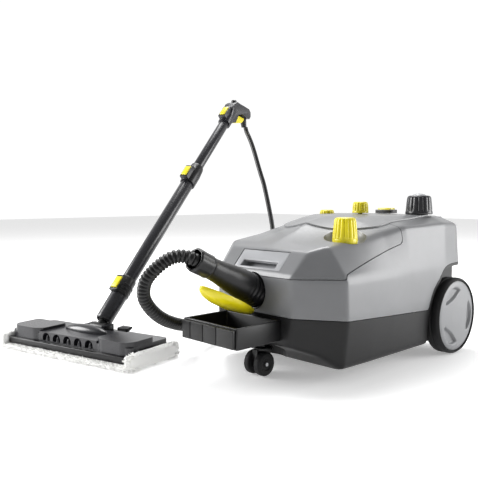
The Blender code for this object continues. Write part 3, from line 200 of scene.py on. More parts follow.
class Stuff(Enum):
    """The finishes this machine is made in."""

    # Satin ABS from a spark-eroded mould: a soft broad highlight, and a grain too fine to see singly.
    BODY = Finish("satin_grey_abs", "6f7072", 0.36, 0.9, 0.012, 0.04, coat=0.12)
    COVER = Finish("pale_grey_abs", "96979a", 0.36, 0.9, 0.012, 0.04, coat=0.10)
    # Glass-filled polypropylene: near black, slightly greasy highlight over a leathery grain.
    BLACK = Finish("black_polypropylene", "121213", 0.34, 1.3, 0.03, 0.10, specular=0.38)
    TUB = Finish("black_textured_polypropylene", "131314", 0.40, 1.6, 0.04, 0.10, specular=0.28)
    # Extruded and moulded ABS of the wand: dark grey with a clear streak of light along it.
    WAND = Finish("dark_grey_abs", "222226", 0.28, 1.0, 0.012, 0.06, coat=0.1)
    YELLOW = Finish("yellow_abs", "d8ca10", 0.32, 1.0, 0.012, 0.05, coat=0.15)
    HUB = Finish("silver_grey_abs", "7b7c7e", 0.38, 0.9, 0.012, 0.04)
    TYRE = Finish("carbon_black_rubber", "171718", 0.62, 1.2, 0.06, 0.12, specular=0.3)
    SOFT = Finish("soft_black_elastomer", "0f0f10", 0.42, 1.0, 0.03, 0.10, specular=0.4)
    HOSE = Finish("black_hose_rubber", "131314", 0.42, 0.9, 0.02, 0.08)
    # Bent and drawn stainless steel: fine lines along one way.
    STEEL = Finish("drawn_stainless_steel", "c3c5c7", 0.28, 0.7, 0.01, 0.05, metallic=1.0,
                   stretch=(18, 1, 1))
    BRASS = Finish("turned_brass", "c59c4b", 0.30, 0.7, 0.01, 0.06, metallic=1.0, stretch=(12, 12, 1))
    TANK = Finish("natural_polyethylene", "dfe3e4", 0.40, 1.4, 0.03, 0.03)
    BOARD = Finish("green_epoxy_laminate", "1f5a35", 0.45, 1.2, 0.02, 0.10)
    # Looped cotton and microfibre: no highlight, a soft bright rim, and shade between the loops.
    TERRY = Finish("white_terry_cloth", "f4f4f2", 0.95, 2.6, 0.9, 0.03, sheen=0.6)

    @property
    def material(self) -> bpy.types.Material:
        """This finish's material, made once."""
        found = bpy.data.materials.get(self.value.name)
        return found or self.value.make()


# ------------------------------------------------------------------ surfaces
@dataclass(frozen=True)
class Place:
    """A local frame: its origin in the machine's frame and its three axes.

    Attributes:
        origin: where it is.
        turn: a 3 by 3 matrix whose columns are its axes.
    """

    origin: tuple[float, float, float] = (0.0, 0.0, 0.0)
    turn: tuple[tuple[float, float, float], ...] = ((1.0, 0.0, 0.0), (0.0, 1.0, 0.0), (0.0, 0.0, 1.0))

    def row(self, points: Array) -> Array:
        """Points of this frame in the row's frame: p -> turn p + origin + DATUM."""
        return np.asarray(points) @ np.array(self.turn).T + np.array(self.origin) + DATUM

    def inner(self, origin: Sequence[float], euler: Euler | None = None) -> "Place":
        """A frame inside this one.

        Args:
            origin: its origin, in this frame.
            euler: how it is turned against this one.

        Returns:
            The frame.
        """
        turn = np.array(self.turn)
        place = turn @ np.array(origin) + np.array(self.origin)
        if euler is not None:
            turn = turn @ np.array(euler.to_matrix())
        return Place(tuple(place.tolist()), tuple(map(tuple, turn.tolist())))


    def turned_by(self, x: float = 0.0, y: float = 0.0, z: float = 0.0) -> "Place":
        """This frame turned where it is, by angles in radians about its own axes."""
        return self.inner((0, 0, 0), Euler((x, y, z)))


MACHINE = Place()
PLUG = Place((0.0, -0.355, 0.130)).turned_by(x=math.radians(64.5))


def object_of(name: str, points: Array, faces: list[Sequence[int]]) -> bpy.types.Object:
    """A mesh object whose doubles are merged and whose faces point out.

    Args:
        name: the piece's name.
        points: vertices in the row's frame, (n, 3).
        faces: vertex numbers of each face.

    Returns:
        The object, linked to the scene.
    """
    mesh = bpy.data.meshes.new(name)
    mesh.from_pydata(points.tolist(), [], faces)
    shape = bmesh.new()
    shape.from_mesh(mesh)
    bmesh.ops.remove_doubles(shape, verts=shape.verts, dist=MERGE)
    bmesh.ops.recalc_face_normals(shape, faces=shape.faces)
    shape.to_mesh(mesh)
    shape.free()
    obj = bpy.data.objects.new(name, mesh)
    bpy.context.scene.collection.objects.link(obj)
    return obj


def closed_grid(name: str, grid: Array, place: Place, ring: bool = False) -> bpy.types.Object:
    """A closed surface over a grid of rings.

    Each row of the grid is a closed ring; the first and last rows are closed by flat caps, unless
    the rows themselves run in a ring.

    Args:
        name: the piece's name.
        grid: points (rows, columns, 3) in the local frame.
        place: that frame.
        ring: whether the last row joins the first.

    Returns:
        The object.
    """
    rows, columns = grid.shape[:2]
    index = np.arange(rows * columns).reshape(rows, columns)
    across = np.roll(index, -1, axis=1)
    lower = (index, across) if ring else (index[:-1], across[:-1])
    upper = (np.roll(index, -1, axis=0), np.roll(across, -1, axis=0)) if ring else (index[1:], across[1:])
    quads = np.stack([lower[0], lower[1], upper[1], upper[0]], axis=-1).reshape(-1, 4)
    faces = quads.tolist()
    if not ring:
        faces += [index[0][::-1].tolist(), index[-1].tolist()]
    return object_of(name, place.row(grid.reshape(-1, 3)), faces)


def rounded(profile: Profile, radius: float, steps: int = 4, closed: bool = False) -> Array:
    """A polyline with its corners rounded.

    Each corner B between A and C becomes the curve (1-t)^2 P + 2t(1-t) B + t^2 Q, with P and Q on AB and BC
    at the given radius from B, or at 0.45 of the shorter side.

    Args:
        profile: the corners.
        radius: how far from each corner the rounding starts.
        steps: pieces of each rounding.
        closed: whether the last corner joins the first.

    Returns:
        The points, (n, 2).
    """
    points = np.array(profile, float)
    before = np.roll(points, 1, axis=0)
    after = np.roll(points, -1, axis=0)
    back = np.linalg.norm(before - points, axis=1, keepdims=True)
    ahead = np.linalg.norm(after - points, axis=1, keepdims=True)
    start = points + (before - points) * np.minimum(radius / np.maximum(back, 1e-9), 0.45)
    end = points + (after - points) * np.minimum(radius / np.maximum(ahead, 1e-9), 0.45)
    t = np.linspace(0, 1, steps + 1)[None, :, None]
    arcs = (1 - t) ** 2 * start[:, None] + 2 * t * (1 - t) * points[:, None] + t**2 * end[:, None]
    if closed:
        return arcs.reshape(-1, 2)
    return np.concatenate([points[:1], arcs[1:-1].reshape(-1, 2), points[-1:]])


def turned(name: str, profile: Array | Profile, place: Place = MACHINE, steps: int = 72,
           shape: Callable[[Array, Array, Array], Array] | None = None,
           ring: bool = False) -> bpy.types.Object:
    """A profile turned about the frame's Z: (r, z) -> (r cos a, r sin a, z).

    Args:
        name: the piece's name.
        profile: radius and height pairs.
        place: the frame.
        steps: points round.
        shape: changes the radius, from arrays of radius, height and angle.
        ring: whether the profile is closed on itself.

    Returns:
        The object.
    """
    profile = np.array(profile, float)
    angle = np.linspace(0, 2 * np.pi, steps, endpoint=False)[None, :]
    radius = np.repeat(profile[:, :1], steps, axis=1)
    height = np.repeat(profile[:, 1:], steps, axis=1)
    if shape is not None:
        radius = shape(radius, height, angle)
    grid = np.stack([radius * np.cos(angle), radius * np.sin(angle), height], axis=-1)
    return closed_grid(name, grid, place, ring)


def prism(name: str, outline: Array | Profile, low: float, high: float, axis: str,
          place: Place = MACHINE) -> bpy.types.Object:
    """An outline carried straight along one axis.

    Args:
        name: the piece's name.
        outline: pairs in the other two axes, in X, Y, Z order.
        low: where it starts.
        high: where it ends.
        axis: x, y or z.
        place: the frame.

    Returns:
        The object.
    """
    pairs = np.array(outline, float)
    column = "xyz".index(axis)
    others = [i for i in range(3) if i != column]
    grid = np.zeros((2, len(pairs), 3))
    grid[:, :, others] = pairs
    grid[0, :, column] = low
    grid[1, :, column] = high
    return closed_grid(name, grid, place)


def block(name: str, low: Sequence[float], high: Sequence[float],
          place: Place = MACHINE) -> bpy.types.Object:
    """A box between two corners of a frame."""
    (x0, y0, z0), (x1, y1, z1) = low, high
    return prism(name, [(x0, y0), (x1, y0), (x1, y1), (x0, y1)], z0, z1, "z", place)


def rod(name: str, radius: float, low: float, high: float, place: Place = MACHINE,
        steps: int = 72) -> bpy.types.Object:
    """A round bar along a frame's Z."""
    return turned(name, [(0, low), (radius, low), (radius, high), (0, high)], place, steps)


def shade(obj: bpy.types.Object, angle: float = 32.0) -> bpy.types.Object:
    """Smooths the faces that meet at less than an angle.

    Args:
        obj: the piece.
        angle: the angle in degrees.

    Returns:
        The piece.
    """
    obj.data.shade_smooth()
    obj.data.set_sharp_from_angle(angle=math.radians(angle))
    return obj


def apply_all(obj: bpy.types.Object) -> bpy.types.Object:
    """Makes an object's modifiers part of its mesh.

    Args:
        obj: the object.

    Returns:
        The object.
    """
    bpy.context.view_layer.update()
    graph = bpy.context.evaluated_depsgraph_get()
    mesh = bpy.data.meshes.new_from_object(obj.evaluated_get(graph))
    obj.modifiers.clear()
    obj.data = mesh
    mesh.name = obj.name
    return obj


def carve(obj: bpy.types.Object, *cutters: bpy.types.Object,
          operation: str = "DIFFERENCE") -> bpy.types.Object:
    """Cuts, joins or intersects an object with others, one after another.

    Args:
        obj: the object that is changed.
        cutters: the others.
        operation: DIFFERENCE, UNION or INTERSECT.

    Returns:
        The object.
    """
    for cutter in cutters:
        modifier = obj.modifiers.new("carve", "BOOLEAN")
        modifier.operation = operation
        modifier.object = cutter
        modifier.solver = "MANIFOLD"
    return apply_all(obj)


def soften(obj: bpy.types.Object, width: float, segments: int = 3, angle: float = 35.0) -> bpy.types.Object:
    """Rounds the edges that are sharper than an angle.

    Args:
        obj: the object.
        width: how wide the rounding is.
        segments: its steps.
        angle: the angle in degrees.

    Returns:
        The object.
    """
    modifier = obj.modifiers.new("rounding", "BEVEL")
    modifier.width = width
    modifier.segments = segments
    modifier.limit_method = "ANGLE"
    modifier.angle_limit = math.radians(angle)
    modifier.use_clamp_overlap = True
    return shade(apply_all(obj), 40)


def refined(node: str, name: str, width: float, segments: int = 3) -> bpy.types.Object:
    """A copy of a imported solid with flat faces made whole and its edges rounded.

    Args:
        node: the solid's name.
        name: the new piece's name.
        width: how wide the rounding is.
        segments: its steps.

    Returns:
        The object.
    """
    mesh = frame["nodes"][node].data.copy()
    shape = bmesh.new()
    shape.from_mesh(mesh)
    bmesh.ops.remove_doubles(shape, verts=shape.verts, dist=MERGE)
    bmesh.ops.dissolve_limit(shape, angle_limit=math.radians(1.5), verts=shape.verts, edges=shape.edges)
    shape.to_mesh(mesh)
    shape.free()
    mesh.materials.clear()
    obj = bpy.data.objects.new(name, mesh)
    bpy.context.scene.collection.objects.link(obj)
    return soften(obj, width, segments)


def dress(obj: bpy.types.Object, stuff: Stuff, body: str, slot: str, *nodes: str) -> bpy.types.Object:
    """Gives a piece its finish, its body and the solids it stands for, and reports it.

    Args:
        obj: the piece.
        stuff: its finish.
        body: the body it moves with.
        slot: the record's material slot; not used.
        nodes: the solids it replaces.

    Returns:
        The piece.
    """
    obj.data.materials.clear()
    obj.data.materials.append(stuff.material)
    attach(obj, body)
    if nodes:
        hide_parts(*nodes)
    count = len(obj.data.polygons) if obj.type == "MESH" else 0
    LOG.info("%s: %s, %d faces", obj.name, stuff.value.name, count)
    return obj


def dress_refined(*rows: tuple[str, str, float, int, Stuff, str, str]) -> None:
    """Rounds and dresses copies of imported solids, one after another.

    Args:
        rows: each solid's node, new name, rounding and its steps, finish, body and slot.
    """
    for node, name, width, segments, stuff, body, slot in rows:
        dress(refined(node, name, width, segments), stuff, body, slot, node)


def discard_cutters() -> None:
    """Removes the helper objects, whose names start with cut_."""
    for obj in [other for other in bpy.data.objects if other.name.startswith("cut_")]:
        bpy.data.objects.remove(obj, do_unlink=True)


def curve_through(route: Array, spacing: float) -> Array:
    """Evenly spaced points of the Catmull-Rom curve through a route.

    Between B and C with neighbours A and D the curve is
    (2B + (C-A)t + (2A-5B+4C-D)t^2 + (3B-A-3C+D)t^3) / 2.

    Args:
        route: the points to pass, (n, 3).
        spacing: distance between the points given back.

    Returns:
        Points, (m, 3).
    """
    knots = np.concatenate([route[:1], route, route[-1:]])
    a, b, c, d = knots[:-3, None], knots[1:-2, None], knots[2:-1, None], knots[3:, None]
    t = np.linspace(0, 1, 32, endpoint=False)[None, :, None]
    fine = 0.5 * (2 * b + (c - a) * t + (2 * a - 5 * b + 4 * c - d) * t**2 + (3 * b - a - 3 * c + d) * t**3)
    fine = np.concatenate([fine.reshape(-1, 3), route[-1:]])
    walked = np.concatenate([[0], np.cumsum(np.linalg.norm(np.diff(fine, axis=0), axis=1))])
    want = np.linspace(0, walked[-1], max(2, round(walked[-1] / spacing)) + 1)
    return np.stack([np.interp(want, walked, fine[:, i]) for i in range(3)], axis=1)


def swept(name: str, path: Array, radius: Array, sides: int) -> bpy.types.Object:
    """A tube along a path, with a radius at each of its points.

    The ring at point i is p + r (cos a n + sin a b), where n is carried along the path with the least
    turning and b completes it.

    Args:
        name: the piece's name.
        path: points in the row's frame.
        radius: the tube's radius at each.
        sides: points round.

    Returns:
        The object.
    """
    tangent = np.gradient(path, axis=0)
    tangent /= np.linalg.norm(tangent, axis=1, keepdims=True)
    normals = [np.cross(tangent[0], [0.3, 0.5, 0.8])]
    for direction in tangent:
        carried = normals[-1] - direction * (normals[-1] @ direction)
        normals.append(carried / np.linalg.norm(carried))
    normal = np.array(normals[1:])
    other = np.cross(tangent, normal)
    angle = np.linspace(0, 2 * np.pi, sides, endpoint=False)[None, :, None]
    ring = np.cos(angle) * normal[:, None] + np.sin(angle) * other[:, None]
    grid = path[:, None] + np.asarray(radius)[:, None, None] * ring - DATUM
    return closed_grid(name, grid, MACHINE)


def ripple(x: Array, y: Array, z: Array, size: float) -> Array:
    """A fixed uneven pattern between -1 and 1, a sum of three skewed sines over 3.

    Args:
        x: first coordinate of each point.
        y: second.
        z: third.
        size: length of one wave.

    Returns:
        The pattern's value at each point.
    """
    k = 2 * np.pi / size
    total = np.sin(k * x + 1.7 * np.sin(0.61 * k * y) + 0.9 * z * k)
    total += np.sin(1.31 * k * y + 1.3 * np.sin(0.83 * k * z + 2.1) + 0.4 * k * x)
    total += np.sin(0.87 * k * z + 1.9 * np.sin(0.47 * k * x + 0.7) - 0.7 * k * y)
    return total / 3


# ------------------------------------------------------------------ studio
@dataclass
class Studio:
    """The pale floor, the lights and the camera.

    Attributes:
        floor_size: side of the floor.
        lens: the camera's focal length in mm on a 36 mm frame.
    """

    floor_size: float = 14.0
    lens: float = 46.27

    def build(self) -> None:
        """Makes the stage, the lights and the camera."""
        half = self.floor_size / 2
        corners = np.array([[-half, -half], [half, -half], [half, half], [-half, half]])
        floor = object_of("studio_floor", np.c_[corners, np.full(4, -0.0004)], [[0, 1, 2, 3]])
        paper = Finish("matt_paper", "f4f4f4", 0.9, 3.0, 0.01, 0.0, glow=0.34, specular=0.1)
        floor.data.materials.append(paper.make())
        world = bpy.data.worlds.new("studio_air")
        world.use_nodes = True
        tree = world.node_tree
        way = add_node(tree, "ShaderNodeTexCoord").outputs["Generated"]
        facing = add_node(tree, "ShaderNodeVectorMath", props={"operation": "DOT_PRODUCT"},
                          values={1: (-0.725, 0.688, 0.0)}, links={0: way}).outputs["Value"]
        glow = add_node(tree, "ShaderNodeMapRange", values={1: -0.1, 2: 0.8, 3: 0.30, 4: 1.05},
                        links={0: facing}).outputs[0]
        background = tree.nodes["Background"]
        background.inputs[0].default_value = (1.0, 1.0, 1.0, 1.0)
        tree.links.new(glow, background.inputs[1])
        bpy.context.scene.world = world
        bpy.context.scene.view_settings.view_transform = "Standard"
        self.light("key_light", (-1.6, -1.5, 1.1), (0.0, -0.05, 0.15), 1.2, 66)
        self.light("side_light", (2.0, 1.9, 0.60), (0.2, 0.1, 0.12), 1.7, 62)
        self.light("top_light", (-0.7, 0.8, 2.4), (0.1, 0.1, 0.15), 1.4, 50)
        camera_data = bpy.data.cameras.new("studio_camera")
        camera_data.lens = self.lens
        camera_data.sensor_width = 36.0
        camera = bpy.data.objects.new("studio_camera", camera_data)
        bpy.context.scene.collection.objects.link(camera)
        camera.location = Vector((0.6915, -1.0617, 0.2879)) + Vector(DATUM)
        camera.rotation_euler = Euler((math.radians(90 - 3.9), 0, math.radians(46.52)))
        bpy.context.scene.camera = camera

    def light(self, name: str, place: Sequence[float], aim: Sequence[float], size: float,
              power: float) -> None:
        """A square soft light that faces a point.

        Args:
            name: its name.
            place: where it hangs.
            aim: what it faces.
            size: its side.
            power: its watts.
        """
        data = bpy.data.lights.new(name, "AREA")
        data.energy = power
        data.size = size
        lamp = bpy.data.objects.new(name, data)
        bpy.context.scene.collection.objects.link(lamp)
        lamp.location = place
        lamp.rotation_euler = (Vector(aim) - Vector(place)).to_track_quat("-Z", "Y").to_euler()


# ------------------------------------------------------------------ body
@dataclass
class Body:
    """The machine's body: tub, shell, hood and cover, cut from one smooth form.

    Attributes:
        half: half of its width.
        front: y of its front face.
        back: y of its back face.
        nose: half width of its front face.
        corner: y at which its front corners' chamfer ends.
        low: height of its underside.
        lip: height of the hood's front edge.
        shoulder: height of the side walls' upper edge at the back.
        seam: height of the seam over the tub.
        waist: height of the seam under the hood.
        wall: thickness of its walls.
    """

    half: float = 0.145
    front: float = -0.375
    back: float = 0.045
    nose: float = 0.083
    corner: float = -0.318
    low: float = 0.024
    lip: float = 0.2035
    shoulder: float = 0.2395
    seam: float = 0.101
    waist: float = 0.1645
    wall: float = 0.003

    def stations(self) -> tuple[Array, Array]:
        """The form's control sections.

        Returns:
            Their y, and six (x, z) points of each one's half outline, from the underside to the top's middle.
        """
        w, lip, top, low = self.half, self.lip, self.shoulder, self.low
        seam, waist, nose = self.seam, self.waist, self.nose
        cut = nose + 0.033 * (w - nose) / (self.corner - self.front)
        rows = [
            (self.front, (nose - 0.006, low + 0.036), (nose, seam), (nose - 0.001, waist),
             (nose - 0.003, lip - 0.036),
             (nose - 0.030, lip - 0.0355), (0, lip - 0.0355)),
            (self.front + 0.033, (cut - 0.006, low + 0.021), (cut, seam), (cut - 0.003, waist),
             (cut - 0.034, lip - 0.0005), (nose - 0.030, lip), (0, lip + 0.0005)),
            (self.corner, (w - 0.009, low), (w, seam), (w - 0.003, waist), (w - 0.039, lip + 0.0085),
             (w - 0.085, lip + 0.0085), (0, lip + 0.0110)),
            (self.front + 0.125, (w - 0.007, low), (w, seam), (w - 0.002, waist), (w - 0.032, lip + 0.0165),
             (w - 0.085, lip + 0.0225), (0, lip + 0.038)),
            (self.front + 0.185, (w - 0.007, low), (w, seam), (w - 0.002, waist), (w - 0.026, top - 0.0095),
             (w - 0.090, top + 0.008), (0, top + 0.0125)),
            (-0.140, (w - 0.007, low), (w - 0.001, seam), (w - 0.003, waist), (w - 0.014, top - 0.001),
             (w - 0.075, top + 0.0135), (0, top + 0.0152)),
            (-0.020, (w - 0.008, low), (w - 0.002, seam), (w - 0.003, waist), (w - 0.008, top),
             (w - 0.035, top + 0.013), (0, top + 0.0145)),
            (self.back - 0.015, (w - 0.011, low), (w - 0.005, seam), (w - 0.006, waist),
             (w - 0.010, top - 0.0015),
             (w - 0.037, top + 0.009), (0, top + 0.0095)),
            (self.back, (w - 0.017, low + 0.006), (w - 0.010, seam), (w - 0.011, waist),
             (w - 0.019, top - 0.0075),
             (w - 0.045, top + 0.0015), (0, top + 0.002)),
        ]
        return np.array([r[0] for r in rows]), np.array([r[1:] for r in rows], float)

    def form(self, name: str, inset: float = 0.0, lift: float = 0.0) -> bpy.types.Object:
        """The whole body as one closed smooth form.

        The control sections are joined linearly along y and averaged over 9 mm, and each outline is
        averaged over its own corners, which rounds every edge. Near the front and the back the outline
        shrinks by r - sqrt(r^2 - (r - d)^2), d from the end, which rounds their rims.

        Args:
            name: the object's name.
            inset: how far it is moved inwards.
            lift: how far its top is raised.

        Returns:
            The object.
        """
        ys, control = self.stations()
        y = np.linspace(self.front, self.back, 181)
        step = y[1] - y[0]
        spread = np.stack([np.interp(y, ys, control[:, i, j]) for i in range(6) for j in range(2)], axis=1)
        reach = max(1, round(0.0045 / step))
        kernel = np.hanning(2 * reach + 3)[1:-1]
        kernel /= kernel.sum()
        mirrored = np.concatenate([2 * spread[:1] - spread[reach:0:-1], spread,
                                   2 * spread[-1:] - spread[-2:-reach - 2:-1]])
        spread = np.stack([np.convolve(mirrored[:, k], kernel, "valid") for k in range(12)], axis=1)
        half = spread.reshape(-1, 6, 2)
        half[:, 3:, 1] += lift
        full = np.concatenate([half, half[:, -2::-1] * [-1, 1]], axis=1)
        counts = [16, 14, 15, 12, 20]
        counts = counts + counts[::-1] + [30]
        outline = []
        for i, count in enumerate(counts):
            t = np.linspace(0, 1, count, endpoint=False)[None, :, None]
            outline.append(full[:, i, None] * (1 - t) + full[:, (i + 1) % full.shape[1], None] * t)
        ring = np.concatenate(outline, axis=1)
        weights = np.array([1, 2, 3, 2, 1]) / 9
        ring = sum(part * np.roll(ring, i - 2, axis=1) for i, part in enumerate(weights))
        rim = 0.005
        ends = np.minimum(y - self.front, self.back - y)
        shrink = np.where(ends < rim, rim - np.sqrt(np.maximum(rim**2 - (rim - ends) ** 2, 0)), 0.0) + inset
        middle = np.stack([np.zeros(len(y)), (ring[:, :, 1].max(axis=1) + ring[:, :, 1].min(axis=1)) / 2],
                          axis=1)
        size = np.stack([ring[:, :, 0].max(axis=1), ring[:, :, 1].max(axis=1) - middle[:, 1]], axis=1)
        ring = middle[:, None] + (ring - middle[:, None]) * (1 - shrink[:, None, None] / size[:, None])
        places = y + np.where(y < self.corner, inset, 0) - np.where(y > self.back - 0.02, inset, 0)
        keep = np.concatenate([[True], np.diff(places) > 1e-6])
        keep &= (places > self.front + inset - 1e-9) & (places < self.back - inset + 1e-9)
        grid = np.concatenate([ring[:, :, :1], np.repeat(places[:, None, None], ring.shape[1], axis=1),
                               ring[:, :, 1:]],
                              axis=-1)[keep]
        return closed_grid(name, grid, MACHINE)

    def arch(self, clearance: float) -> list[tuple[float, float]]:
        """The wheel arch's front and top.

        Args:
            clearance: how far it is outside the wheel's own clearance.

        Returns:
            Points in y and z.
        """
        reach = WHEEL_RADIUS + 0.0065 + clearance
        angle = np.radians(np.linspace(180, 122, 16))
        arc = np.stack([reach * np.cos(angle), WHEEL_RADIUS + reach * np.sin(angle)], axis=1)
        top = WHEEL_RADIUS + reach + 0.0135
        tail = curve_through(np.array([[*arc[-1], 0], [-0.022, top - 0.006, 0], [0.004, top, 0],
                                       [0.06, top + 0.0005, 0]]), 0.006)
        return arc[:-1].tolist() + tail[:, :2].tolist()

    def above_seam(self, gap: float) -> list[tuple[float, float]]:
        """The region over the seam between tub and shell.

        Args:
            gap: how far it is raised.

        Returns:
            Its outline in y and z.
        """
        rear = self.seam - 0.0127
        arch = [p for p in self.arch(0.005) if p[1] > rear]
        slope = 0.0127 / (self.corner - arch[0][0])
        start = (-1.0, self.seam + slope * (-1.0 - self.corner) + gap)
        foot = (arch[0][0] - 0.004, rear + gap)
        arc = [(y - gap * 0.8, z + gap * 0.6) for y, z in arch]
        return [start, foot, *arc, (1.0, arch[-1][1] + gap), (1.0, 1.0), (-1.0, 1.0)]

    def hood_region(self, gap: float) -> list[tuple[float, float]]:
        """The hood's region.

        Args:
            gap: how far it is grown.

        Returns:
            Its outline in y and z.
        """
        bend = rounded([(-1.0, self.waist - gap), (self.corner + gap, self.waist - gap),
                        (self.corner + 0.005 + gap, self.waist + 0.007 - gap),
                        (-0.157 + gap, self.shoulder - 0.0295 - gap),
                        (-0.152 + gap, self.shoulder - 0.0235 - gap), (-0.152 + gap, 1.0), (-1.0, 1.0)],
                       0.003, 3)
        return bend.tolist()

    def cover_plan(self) -> list[tuple[float, float]]:
        """Plan of the raised cover, with an arched front: y = side - depth sin(a)^0.9.

        Returns:
            Its outline in x and y.
        """
        half = self.half - 0.041
        side = -0.154
        angle = np.linspace(0, np.pi, 41)
        arch = np.stack([half * np.cos(angle), side - (side - self.front - 0.130) * np.sin(angle) ** 0.9],
                        axis=1)
        return [(half, self.back - 0.010), *arch.tolist(), (-half, self.back - 0.010)]

    def build(self) -> None:
        """Cuts the tub, the shell, the hood and the cover, and dresses them."""
        wide = 0.3
        across = Place((0.0, 0.0, WHEEL_RADIUS)).turned_by(y=math.pi / 2)
        house, arches = [], []
        for side in (-1, 1):
            inner = sorted((side * 0.1175, side * wide))
            outer = sorted((side * 0.1205, side * wide))
            for reach, span, group in ((self.wall, inner, house), (0.0, outer, arches)):
                edge = self.arch(reach)
                group.append(prism("cut_arch", edge + [(1.0, edge[-1][1]), (1.0, -0.1), (edge[0][0], -0.1)],
                                   *span, "x"))
        knob = Place((*RIGHT_KNOB, 0))
        left = Place((*LEFT_KNOB, 0))
        caster = Place((0.0, -0.352, 0))
        knob_boss = rod("cut_boss", 0.0385, 0.2095, 0.3, knob)
        left_boss = rod("cut_boss", 0.022, 0.2390, 0.3, left)
        caster_boss = rod("cut_boss", 0.043, -0.1, 0.059, caster)
        cavity = self.form("cut_cavity", inset=self.wall)
        carve(cavity, *house, knob_boss, left_boss, caster_boss)
        socket = rod("cut_socket", 0.0275, -0.06, 0.1, PLUG)
        neck = rod("cut_neck", 0.0169, 0.2, 0.4, Place((*CAP_PLACE, 0)))
        left_pocket = turned("cut_pocket", rounded([(0, 0.2420), (0.0185, 0.2420), (0.0195, 0.32),
                                                    (0, 0.32)], 0.003), left)
        knob_pocket = turned("cut_dish", rounded([(0, 0.2125), (0.027, 0.2125), (0.0345, 0.2200),
                                                  (0.040, 0.2340),
                                                  (0.046, 0.3), (0, 0.3)], 0.006), knob)
        middle = Place((*MIDDLE_KNOB, 0))
        stems = [rod("cut_stem", STEM_HOLE, 0.2, 0.4, place, 24) for place in (left, middle)]

        tub = self.form("lower_tub_moulding")
        pocket = rod("cut_caster", 0.040, -0.1, 0.056, caster)
        stem_hole = rod("cut_stem", 0.0064, -0.1, 0.08, caster, 32)
        axle_hole = rod("cut_axle", 0.0064, -wide, wide, across, 32)
        gland = rod("cut_gland", 0.0075, -0.03, 0.03,
                    Place((-0.060, self.back, 0.058)).turned_by(x=-math.pi / 2), 32)
        upper = prism("cut_upper", self.above_seam(0.0), -wide, wide, "x")
        carve(tub, cavity, upper, *arches, pocket, stem_hole, axle_hole, gland)
        dress(shade(tub), Stuff.TUB, "machine", "black_plastic", "lower_tub")

        shell = self.form("body_shell_moulding")
        upper_gap = prism("cut_upper", self.above_seam(0.0011), -wide, wide, "x")
        hood_gap = prism("cut_hood", self.hood_region(0.0011), -wide, wide, "x")
        carve(shell, cavity)
        carve(shell, upper_gap, operation="INTERSECT")
        carve(shell, hood_gap, socket, neck, left_pocket, *stems)
        dress(shade(shell), Stuff.BODY, "machine", "grey_plastic", "body_shell")

        hood = self.form("hood_moulding")
        region = prism("cut_hood", self.hood_region(0.0), -wide, wide, "x")
        carve(hood, cavity)
        carve(hood, region, operation="INTERSECT")
        knob_stem = rod("cut_stem", STEM_HOLE, 0.15, 0.3, knob, 24)
        slope = Place((0.0, self.front + 0.0165, self.lip - 0.0178)).turned_by(x=math.atan2(0.0355, 0.033))
        opening = block("cut_opening", (-0.0523, -0.0163, -0.04), (0.0523, 0.0218, 0.04), slope)
        vents = [block("cut_vent", (-0.0019, -0.023, -0.0016), (0.0019, 0.023, 0.02),
                       Place((x, y, z)).turned_by(x=0.19))
                 for x, y, z in ((-0.006, -0.232, 0.2438), (-0.030, -0.240, 0.2372))]
        carve(hood, socket, knob_pocket, knob_stem, opening, *vents)
        dress(shade(hood), Stuff.BODY, "machine", "grey_plastic", "hood")

        cover = self.form("top_cover_plate", lift=0.0025)
        plan = prism("cut_plan", self.cover_plan(), 0.19, 0.4, "z")
        under = self.form("cut_under", lift=0.0003)
        carve(cover, plan, operation="INTERSECT")
        carve(cover, under, left_pocket, neck, *stems)
        dress(shade(cover), Stuff.BODY, "machine", "light_grey_plastic", "top_cover")

        discard_cutters()


@dataclass
class FrontFittings:
    """What is fastened to the front: handle, tray, bumper and steam socket."""

    round_mm: float = 1.6

    def build(self) -> None:
        """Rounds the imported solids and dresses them."""
        width = self.round_mm / 1000
        dress_refined(
            ("carry_handle", "carry_handle_frame", width, 3, Stuff.COVER, "machine", "light_grey_plastic"),
            ("front_tray", "accessory_tray", width, 3, Stuff.BLACK, "machine", "black_plastic"),
            ("bumper_pad", "ribbed_bumper", 0.0006, 3, Stuff.SOFT, "machine", "black_rubber"),
            ("switch_frame", "switch_bezel", 0.0008, 3, Stuff.BLACK, "machine", "black_plastic"),
            ("power_rocker", "rocker_key", 0.0007, 3, Stuff.YELLOW, "rocker", "yellow_plastic"),
            ("steam_socket", "socket_cup", 0.0005, 3, Stuff.BLACK, "machine", "black_plastic"),
        )


